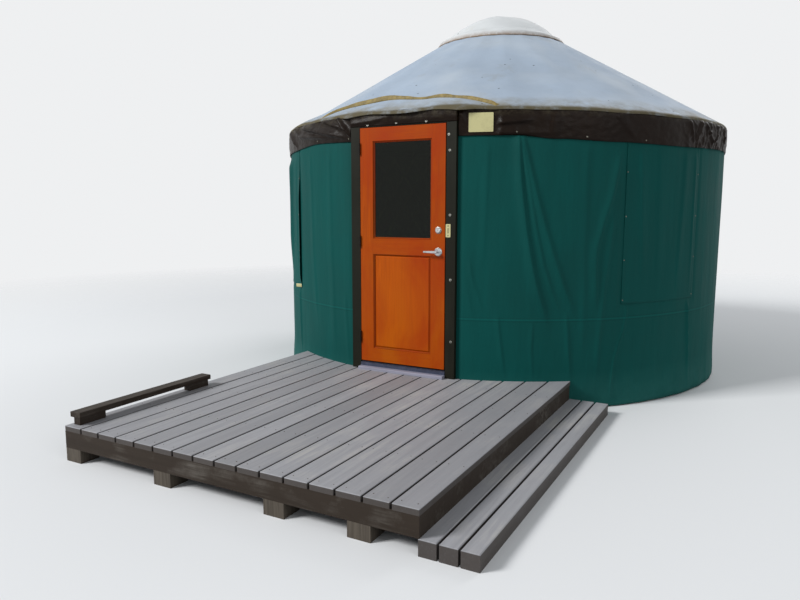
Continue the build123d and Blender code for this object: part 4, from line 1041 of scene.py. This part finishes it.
class YURT_OT_crown_cap(bpy.types.Operator):
    """Make the crown cap, a dome of cloth over two crossed hoops with a stitched skirt"""
    bl_idname = "yurt.crown_cap"
    bl_label = "Crown cap"

    THICKNESS = 0.002
    STEPS = 144
    DOME_STEPS = 22
    SINK = 0.012  # how far the cloth hangs between the hoops
    DOME_RADIUS = 0.56  # out to here the windward side keeps its shape
    FLATTENED = 0.022  # how far the skirt lies lower on the windward side
    HEM = 0.004  # radius of the corded hem
    HEM_RISE = 0.0065  # from the cap's rim to the hem's middle

    def outline(self):
        """Half section from the crown to the rim, as radius and height."""
        base, crown = CAP_LOW.z, CAP_HIGH.z
        shoulder = (0.575, base + 0.100)
        lip = (0.668, base + 0.052)
        rim = (CAP_RADIUS, base + 0.001)
        rise = crown - shoulder[1]
        arc = (shoulder[0] ** 2 + rise**2) / (2 * rise)
        steps = range(1, self.DOME_STEPS + 1)
        swings = [math.asin(shoulder[0] / arc) * step / self.DOME_STEPS for step in steps]
        dome = [(arc * math.sin(swing), crown - arc * (1 - math.cos(swing))) for swing in swings]
        quarters = (0.25, 0.5, 0.75, 1.0)
        skirt = [(blend(shoulder[0], lip[0], share),
                  blend(shoulder[1], lip[1], share) + 0.006 * math.sin(math.pi * share)) for share in quarters]
        edge = [(blend(lip[0], rim[0], share), blend(lip[1], rim[1], share)) for share in quarters]
        return [(0.0, crown)] + dome + skirt + edge

    def drape(self, made):
        """Sinks the cap between its hoops, ripples its skirt and flattens the windward side."""
        for vert in made.verts:
            radius = math.hypot(vert.co.x, vert.co.y)
            azimuth = math.atan2(vert.co.x, -vert.co.y)
            share = radius / CAP_RADIUS
            between = 0.5 - 0.5 * math.cos(4 * azimuth)
            vert.co.z -= self.SINK * between * math.sin(math.pi * min(share * 1.15, 1.0)) ** 1.2
            ripple = 0.003 * wander(vert.co.x, vert.co.y, 0.0, 0.10, 8.0) * ease((share - 0.75) / 0.2)
            vert.co.z += ripple * ease((1 - share) / 0.05) + 0.002 * wander(*vert.co, 0.22, 3.0) * (1 - share)
            windward = ease((math.degrees(azimuth) - 35) / 40) * ease((165 - math.degrees(azimuth)) / 40)
            skirt = math.sin(math.pi * ease((radius - self.DOME_RADIUS) / (CAP_RADIUS - self.DOME_RADIUS)))
            vert.co.z -= self.FLATTENED * windward * skirt

    def execute(self, context):
        made = bmesh.new()
        points = [made.verts.new((radius, 0, height)) for radius, height in self.outline()]
        edges = [made.edges.new(pair) for pair in zip(points, points[1:])]
        bmesh.ops.spin(made, geom=points + edges, cent=(0, 0, 0), axis=(0, 0, 1), angle=math.tau,
                       steps=self.STEPS, use_merge=True)
        bmesh.ops.remove_doubles(made, verts=made.verts, dist=0.0002)
        self.drape(made)
        make_sheet("cap_cloth", made, cap_canvas, "cap_canvas", self.THICKNESS, ["crown_cap"],
                   flat=(1.5, 1.5), area=1.75, held="stretched", rests_on=["crown_hoops", "roof_cloth"])
        hem = bmesh.new()
        place = Matrix.Translation((CAP_RADIUS - self.HEM, 0, CAP_LOW.z + self.HEM_RISE))
        upright = Matrix.Rotation(math.pi / 2, 4, "X")
        add_ring(hem, place @ upright, 8, self.HEM, (0, 0, 0), (0, 0, 1), self.STEPS)
        make_piece("cap_hem", hem, worn_webbing())
        return {"FINISHED"}


class YURT_OT_deck_boards(bpy.types.Operator):
    """Make the porch's boards, laid front to back and cut to the round wall"""
    bl_idname = "yurt.deck_boards"
    bl_label = "Deck boards"

    MIDDLE, BACK = -3.0, -2.0  # of a board along Y, before its back end is cut
    WALL_GAP = 0.002
    CUTS = 5  # across the board, so that its back end can follow the wall
    EASED = 0.003
    SCREW_ROWS = (-4.57, -4.02, -3.46, -2.90, -2.42)
    SCREW_OFFSET = 0.045  # from the board's middle

    def board(self, made, tone, left, right, chance):
        """One board, with its back end scribed to the wall and its edges eased."""
        thin = chance.uniform(0.0, 0.0015)
        verts = add_block(made, (left, DECK_LOW.y, DECK_LOW.z), (right, self.BACK, DECK_HIGH.z - thin))
        across = [edge for edge in edges_of(verts) if abs(edge.verts[0].co.x - edge.verts[1].co.x) > 0.01]
        bmesh.ops.subdivide_edges(made, edges=across, cuts=self.CUTS)
        verts = [vert for vert in made.verts if left - 0.001 < vert.co.x < right + 0.001]
        for vert in verts:
            if vert.co.y > self.MIDDLE:
                vert.co.y = -math.sqrt((WALL_RADIUS + self.WALL_GAP) ** 2 - vert.co.x**2)
        edges = [edge for edge in edges_of(verts)
                 if abs(edge.calc_face_angle(0.0)) > 1.0
                 and max(vert.co.z for vert in edge.verts) > DECK_HIGH.z - 0.01]
        bmesh.ops.bevel(made, geom=edges, offset=self.EASED, segments=2, profile=0.5, affect="EDGES",
                        material=-1)
        shade = chance.random() ** 1.6 * 0.75
        for vert in made.verts:
            if vert[tone] == 0.0:
                vert[tone] = shade + 0.001

    def screws(self, middles, chance):
        made = bmesh.new()
        for middle in middles:
            for row in self.SCREW_ROWS:
                for offset in (-self.SCREW_OFFSET, self.SCREW_OFFSET):
                    x = middle + offset + chance.uniform(-0.004, 0.004)
                    y = row + chance.uniform(-0.006, 0.006)
                    if math.hypot(x, y) > WALL_RADIUS + 0.03:
                        place = Vector((x, y, DECK_HIGH.z - 0.0015))
                        add_disc(made, place, Vector((0, 0, 1)), 0.0042, 0.0022, 8, 0.3)
        make_heads("deck_screws", made, "worn_screws", (92, 86, 80), 0.45)

    def execute(self, context):
        chance = random.Random(11)
        gap = sizes().board_gap
        pitch = (DECK_HIGH.x - DECK_LOW.x + gap) / sizes().board_count
        lefts = [DECK_LOW.x + index * pitch for index in range(sizes().board_count)]
        made = bmesh.new()
        tone = made.verts.layers.float.new("tone")
        for left in lefts:
            self.board(made, tone, left, left + pitch - gap, chance)
        # the boards' sides and ends below their top face carry painted shade
        make_piece("porch_boards", made, deck_paint("deck_paint_boards", DECK_HIGH.z, True),
                   smooth=False, replaces=["porch_deck"])
        self.screws([left + (pitch - gap) / 2 for left in lefts], chance)
        return {"FINISHED"}


class YURT_OT_fastenings(bpy.types.Operator):
    """Make the door frame's washers and screws, the flanges of the lock, and the covers' snaps"""
    bl_idname = "yurt.fastenings"
    bl_label = "Fastenings"

    JAMB_PLACES = (  # x and height of each washer
        (0.434, 2.257), (0.443, 2.132), (0.450, 1.613), (0.459, 1.080), (0.467, 0.560),
    )
    HEADER_PLACES = ((-0.329, 2.371), (-0.049, 2.376), (0.231, 2.373))
    HEADER_PROUD = 0.0042  # how far the strip stands in front of the jambs
    SNAPS = (24.1, 38.1, 51.6, 67.8, 95.0, 122.0, 149.0, 176.0,
             -157.0, -130.0, -103.0, -76.0, -48.0, -25.2, -13.4)  # azimuths along the valance
    SNAP_RISE = 0.025  # above the valance's lower edge
    FLAP_SNAPS = (FLAP_LOW.z + 0.03, 1.24, 1.60, 1.96)  # heights along a flap's sides
    COLLARS = (("deadbolt", 0.021, 0.029), ("lever_roses", 0.031, 0.036))  # inner and outer radius
    OUTWARDS = Vector((0, -1, 0))

    def washers(self, radius):
        made, heads = bmesh.new(), bmesh.new()
        places = [Vector((x, DOOR_FACE - self.HEADER_PROUD, z)) for x, z in self.HEADER_PLACES]
        places += [Vector((x, DOOR_FACE, z)) for x, z in self.JAMB_PLACES]
        for place in places:
            add_disc(made, place, self.OUTWARDS, radius, 0.0018, 20, 0.12)
            add_disc(heads, place + self.OUTWARDS * 0.0018, self.OUTWARDS, radius * 0.5, 0.0030, 12, 0.35)
        self.strike_screws_and_slot_shade(heads)
        make_heads("frame_washers", made, "dull_zinc", (168, 168, 160), 0.36)
        make_heads("frame_screws_and_slot_shade", heads, "dark_screws_and_slot_shade", (70, 66, 58), 0.4)

    def strike_screws_and_slot_shade(self, made):
        """Two screws, and a thin dark block that stands as painted shade for the strike plate's slot."""
        low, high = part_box("strike_plate")
        middle = (low + high) / 2
        tall = high.z - low.z
        for share in (-0.36, 0.36):
            place = Vector((middle.x, low.y, middle.z + share * tall))
            add_disc(made, place, self.OUTWARDS, 0.0055, 0.0012, 12, 0.25)
        # painted shade: a thin dark block stands for the shade inside the plate's slot
        add_block(made, (middle.x - 0.003, low.y - 0.0006, middle.z - tall * 0.2),
                  (middle.x + 0.003, low.y, middle.z + tall * 0.2))

    def collars(self):
        """Round flanges under the lever's outer rose and the bolt's key side."""
        made = bmesh.new()
        for name, inner, outer in self.COLLARS:
            low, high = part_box(name)
            middle = Vector(((low.x + high.x) / 2, DOOR_FACE, (low.z + high.z) / 2))
            place = (Matrix.Translation(middle + Vector(((inner + outer) / 2, 0, 0)))
                     @ Matrix.Diagonal(((outer - inner) / 2, 0.0045, 1, 1)))
            add_ring(made, place, 12, 1.0, middle, (0, 1, 0), 48)
        make_piece("lock_collars", made, metal("collar_steel", srgb(190, 190, 184), 0.3),
                   body_of(NODES["deadbolt"])[0])

    def snaps(self):
        made = bmesh.new()

        def snap(cloth, azimuth, height, radius, depth):
            place = polar(azimuth, cloth_radius(cloth, azimuth, height) - 0.0005, height)
            add_disc(made, place, polar(azimuth, 1.0, 0.0), radius, depth, 16, 0.35)

        for azimuth in self.SNAPS:
            height = from_table(YURT_OT_valance.BOTTOMS, azimuth) + self.SNAP_RISE
            snap("valance_cloth", azimuth, height, 0.0075, 0.0035)
        for window, middle in WINDOWS.items():
            for side in (-1, 1):
                azimuth = middle + side * (FLAP_HALF - 0.28)
                for height in self.FLAP_SNAPS:
                    snap("window_flap_cloth_" + window, azimuth, height, 0.0065, 0.003)
        make_heads("cover_snaps", made, "snap_steel", (112, 110, 100), 0.4)

    def execute(self, context):
        self.washers(sizes().washer_radius)
        self.collars()
        self.snaps()
        return {"FINISHED"}


class YURT_OT_lattice_bolts(bpy.types.Operator):
    """Make the small bolts that join the laths at their crossings, seen through the door and from below"""
    bl_idname = "yurt.lattice_bolts"
    bl_label = "Lattice bolts"

    LATHS = 48  # in each of the two layers
    PITCH = 360 / LATHS
    RUN = math.degrees(1.5 / 2.285)  # how far round the wall a lath climbs
    MARGIN = 0.019  # from a lath's end to its last bolt
    INNER_RADIUS = 2.2650

    def execute(self, context):
        made = bmesh.new()
        low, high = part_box("lattice_outer_laths")
        for index in range(self.LATHS):
            for step in range(1, int(2 * self.RUN / self.PITCH) + 1):
                share = step * self.PITCH / (2 * self.RUN)
                azimuth = (index * self.PITCH + share * self.RUN + 180) % 360 - 180
                if share < 1 and abs(azimuth) > DOOR_HALF + 0.8:
                    height = blend(low.z + self.MARGIN, high.z - self.MARGIN, share)
                    inwards = -polar(azimuth, 1.0, 0.0)
                    add_disc(made, polar(azimuth, self.INNER_RADIUS, height), inwards, 0.006, 0.003, 6)
        make_heads("lattice_bolts", made, "lattice_zinc", (150, 150, 148), 0.4)
        return {"FINISHED"}


class YURT_OT_frame_finishes(bpy.types.Operator):
    """Give the frame's own pieces their finishes"""
    bl_idname = "yurt.frame_finishes"
    bl_label = "Frame finishes"

    def execute(self, context):
        finishes = {
            "platform_floor": floor_boards(),
            "platform_rim lattice_outer_laths lattice_inner_laths": frame_timber("Z"),
            "platform_joists": frame_timber("Y"),
            "platform_sleepers rafters crown_ring crown_hoops": frame_timber("X"),
            "tension_cable": metal("cable_strand", srgb(150, 152, 154), 0.35),
            "window_panes": clear_vinyl(),
            "door_jambs": frame_paint("Z"),
            "door_header": frame_paint("X"),
            # partly painted light: pale grey timber with a blue-lilac cast of painted skylight
            "threshold_board": timber("threshold_wood_sky_tint", "X", srgb(152, 152, 168), srgb(112, 110, 122)),
            # painted reflection: the saddle's blue tint stands for the sky it mirrored
            "threshold_saddle": metal("saddle_metal_sky_tint", srgb(92, 98, 118), 0.32),
            "door_stiles": door_timber("Z"),
            "door_rails": door_timber("X"),
            "door_beads": door_timber("X", 0.6),
            "door_panel": door_timber("Z", 1.15),
            "door_glass": window_glass(),
            "lever_roses deadbolt lever_handle": metal("satin_steel_worn", srgb(196, 198, 200), 0.26),
            "frame_hinges leaf_hinges": metal("hinge_bronze", srgb(40, 38, 36), 0.42),
            "strike_plate sign_plate": shared(painted_plate),
            "porch_fascias": fascia_paint("X"),
            "porch_joists": old_timber_in_shade("Y"),
            "porch_footings": old_timber_in_shade("Z"),
            # the step's sides and ends below its top face carry painted shade
            "step_timbers": deck_paint("step_paint", STEP_TOP),
            "kerb_rail kerb_blocks": fascia_paint("Y"),
        }
        for names, material in finishes.items():
            for name in names.split():
                for spot in NODES[name].material_slots:
                    spot.material = material
        return {"FINISHED"}


class YURT_OT_studio(bpy.types.Operator):
    """Make the pale floor, the soft lights and the camera"""
    bl_idname = "yurt.studio"
    bl_label = "Studio"

    BACKDROP = (0.86, 0.87, 0.88)
    FLOOR_RADIUS = 60.0
    LAMPS = (  # place, aim, size, power in watts
        ((-17.5, -23.0, 19.0), (0.3, -1.0, 1.2), 8.4, 10200.0),
        ((15.0, -10.0, 9.0), (0.0, -0.5, 1.2), 9.0, 550.0),
        ((4.0, 16.0, 12.0), (0.0, 0.0, 2.0), 11.0, 1300.0),
    )
    CAMERA_PLACE = (2.7710, -7.3758, 1.678)
    CAMERA_TURN = (math.pi / 2 - 0.1361, 0, 0.5002)
    LENS, SENSOR = 30.58, 36.0

    def floor(self):
        made = bmesh.new()
        bmesh.ops.create_circle(made, cap_ends=True, segments=96, radius=self.FLOOR_RADIUS)
        mesh = bpy.data.meshes.new("studio_floor")
        made.to_mesh(mesh)
        made.free()
        mesh.materials.append(self.floor_finish())
        add_object("studio_floor", mesh)

    def floor_finish(self):
        """Pale floor that fades into the backdrop further out."""
        material, tree = new_finish("studio_floor")
        finish_surface(material, dim(self.BACKDROP, 0.86), 0.9, Specular_IOR_Level=0.0)
        joined = node(tree, "ShaderNodeMixShader", {
            0: span(tree, distance_out(tree), 6.5, 13.0), 1: tree.nodes["Principled BSDF"].outputs[0],
            2: node(tree, "ShaderNodeBsdfTransparent").outputs[0]})
        tree.links.new(joined.outputs[0], tree.nodes["Material Output"].inputs[0])
        return material

    def world(self):
        world = bpy.data.worlds.new("studio_world")
        bpy.context.scene.world = world
        world.use_nodes = True
        tree = world.node_tree
        tree.nodes.clear()
        path = node(tree, "ShaderNodeLightPath")
        seen = maths(tree, "MAXIMUM", path.outputs["Is Camera Ray"], path.outputs["Is Transmission Ray"])
        seen = maths(tree, "MAXIMUM", seen, path.outputs["Is Glossy Ray"])
        light = node(tree, "ShaderNodeBackground", {0: (0.90, 0.95, 1.0, 1.0), 1: 0.36})
        shown = node(tree, "ShaderNodeBackground", {0: (*self.BACKDROP, 1.0), 1: 1.0})
        joined = node(tree, "ShaderNodeMixShader", {0: seen, 1: light.outputs[0], 2: shown.outputs[0]})
        node(tree, "ShaderNodeOutputWorld", {0: joined.outputs[0]})

    def lamps(self):
        for index, (place, aim, size, power) in enumerate(self.LAMPS):
            lamp = bpy.data.lights.new(f"studio_lamp_{index}", "AREA")
            lamp.shape = "SQUARE"
            lamp.size = size
            lamp.energy = power
            holder = add_object(lamp.name, lamp)
            holder.location = place
            holder.rotation_euler = (Vector(aim) - Vector(place)).to_track_quat("-Z", "Y").to_euler()

    def camera(self):
        camera = bpy.data.cameras.new("studio_camera")
        camera.lens = self.LENS
        camera.sensor_width = self.SENSOR
        camera.clip_end = 200
        holder = add_object("studio_camera", camera)
        holder.location = self.CAMERA_PLACE
        holder.rotation_euler = self.CAMERA_TURN
        bpy.context.scene.camera = holder

    def execute(self, context):
        self.floor()
        self.world()
        self.lamps()
        self.camera()
        context.scene.view_settings.view_transform = "Standard"
        return {"FINISHED"}


class YURT_PT_pieces(bpy.types.Panel):
    """Lists the yurt's pieces, sizes and colours"""
    bl_idname = "YURT_PT_pieces"
    bl_label = "Yurt"
    bl_space_type = "VIEW_3D"
    bl_region_type = "UI"
    bl_category = "Yurt"

    def draw(self, context):
        column = self.layout.column()
        for operator in OPERATORS:
            column.operator(operator.bl_idname)
        for group in (context.scene.yurt_sizes, context.scene.yurt_colours):
            for name in group.bl_rna.properties.keys():
                if name not in ("rna_type", "name"):
                    column.prop(group, name)


OPERATORS = (
    YURT_OT_studio,
    YURT_OT_frame_finishes,
    YURT_OT_wall_cover,
    YURT_OT_window_flaps,
    YURT_OT_valance,
    YURT_OT_roof_cover,
    YURT_OT_rain_strip,
    YURT_OT_crown_cap,
    YURT_OT_deck_boards,
    YURT_OT_fastenings,
    YURT_OT_lattice_bolts,
)
CLASSES = (YurtSizes, YurtColours) + OPERATORS + (YURT_PT_pieces,)


def register():
    for made in CLASSES:
        bpy.utils.register_class(made)
    bpy.types.Scene.yurt_sizes = PointerProperty(type=YurtSizes)
    bpy.types.Scene.yurt_colours = PointerProperty(type=YurtColours)


def unregister():
    del bpy.types.Scene.yurt_sizes
    del bpy.types.Scene.yurt_colours
    for made in reversed(CLASSES):
        bpy.utils.unregister_class(made)


def main():
    register()
    for operator in OPERATORS:
        group, name = operator.bl_idname.split(".")
        getattr(getattr(bpy.ops, group), name)()


if __name__ == "__main__":
    main()
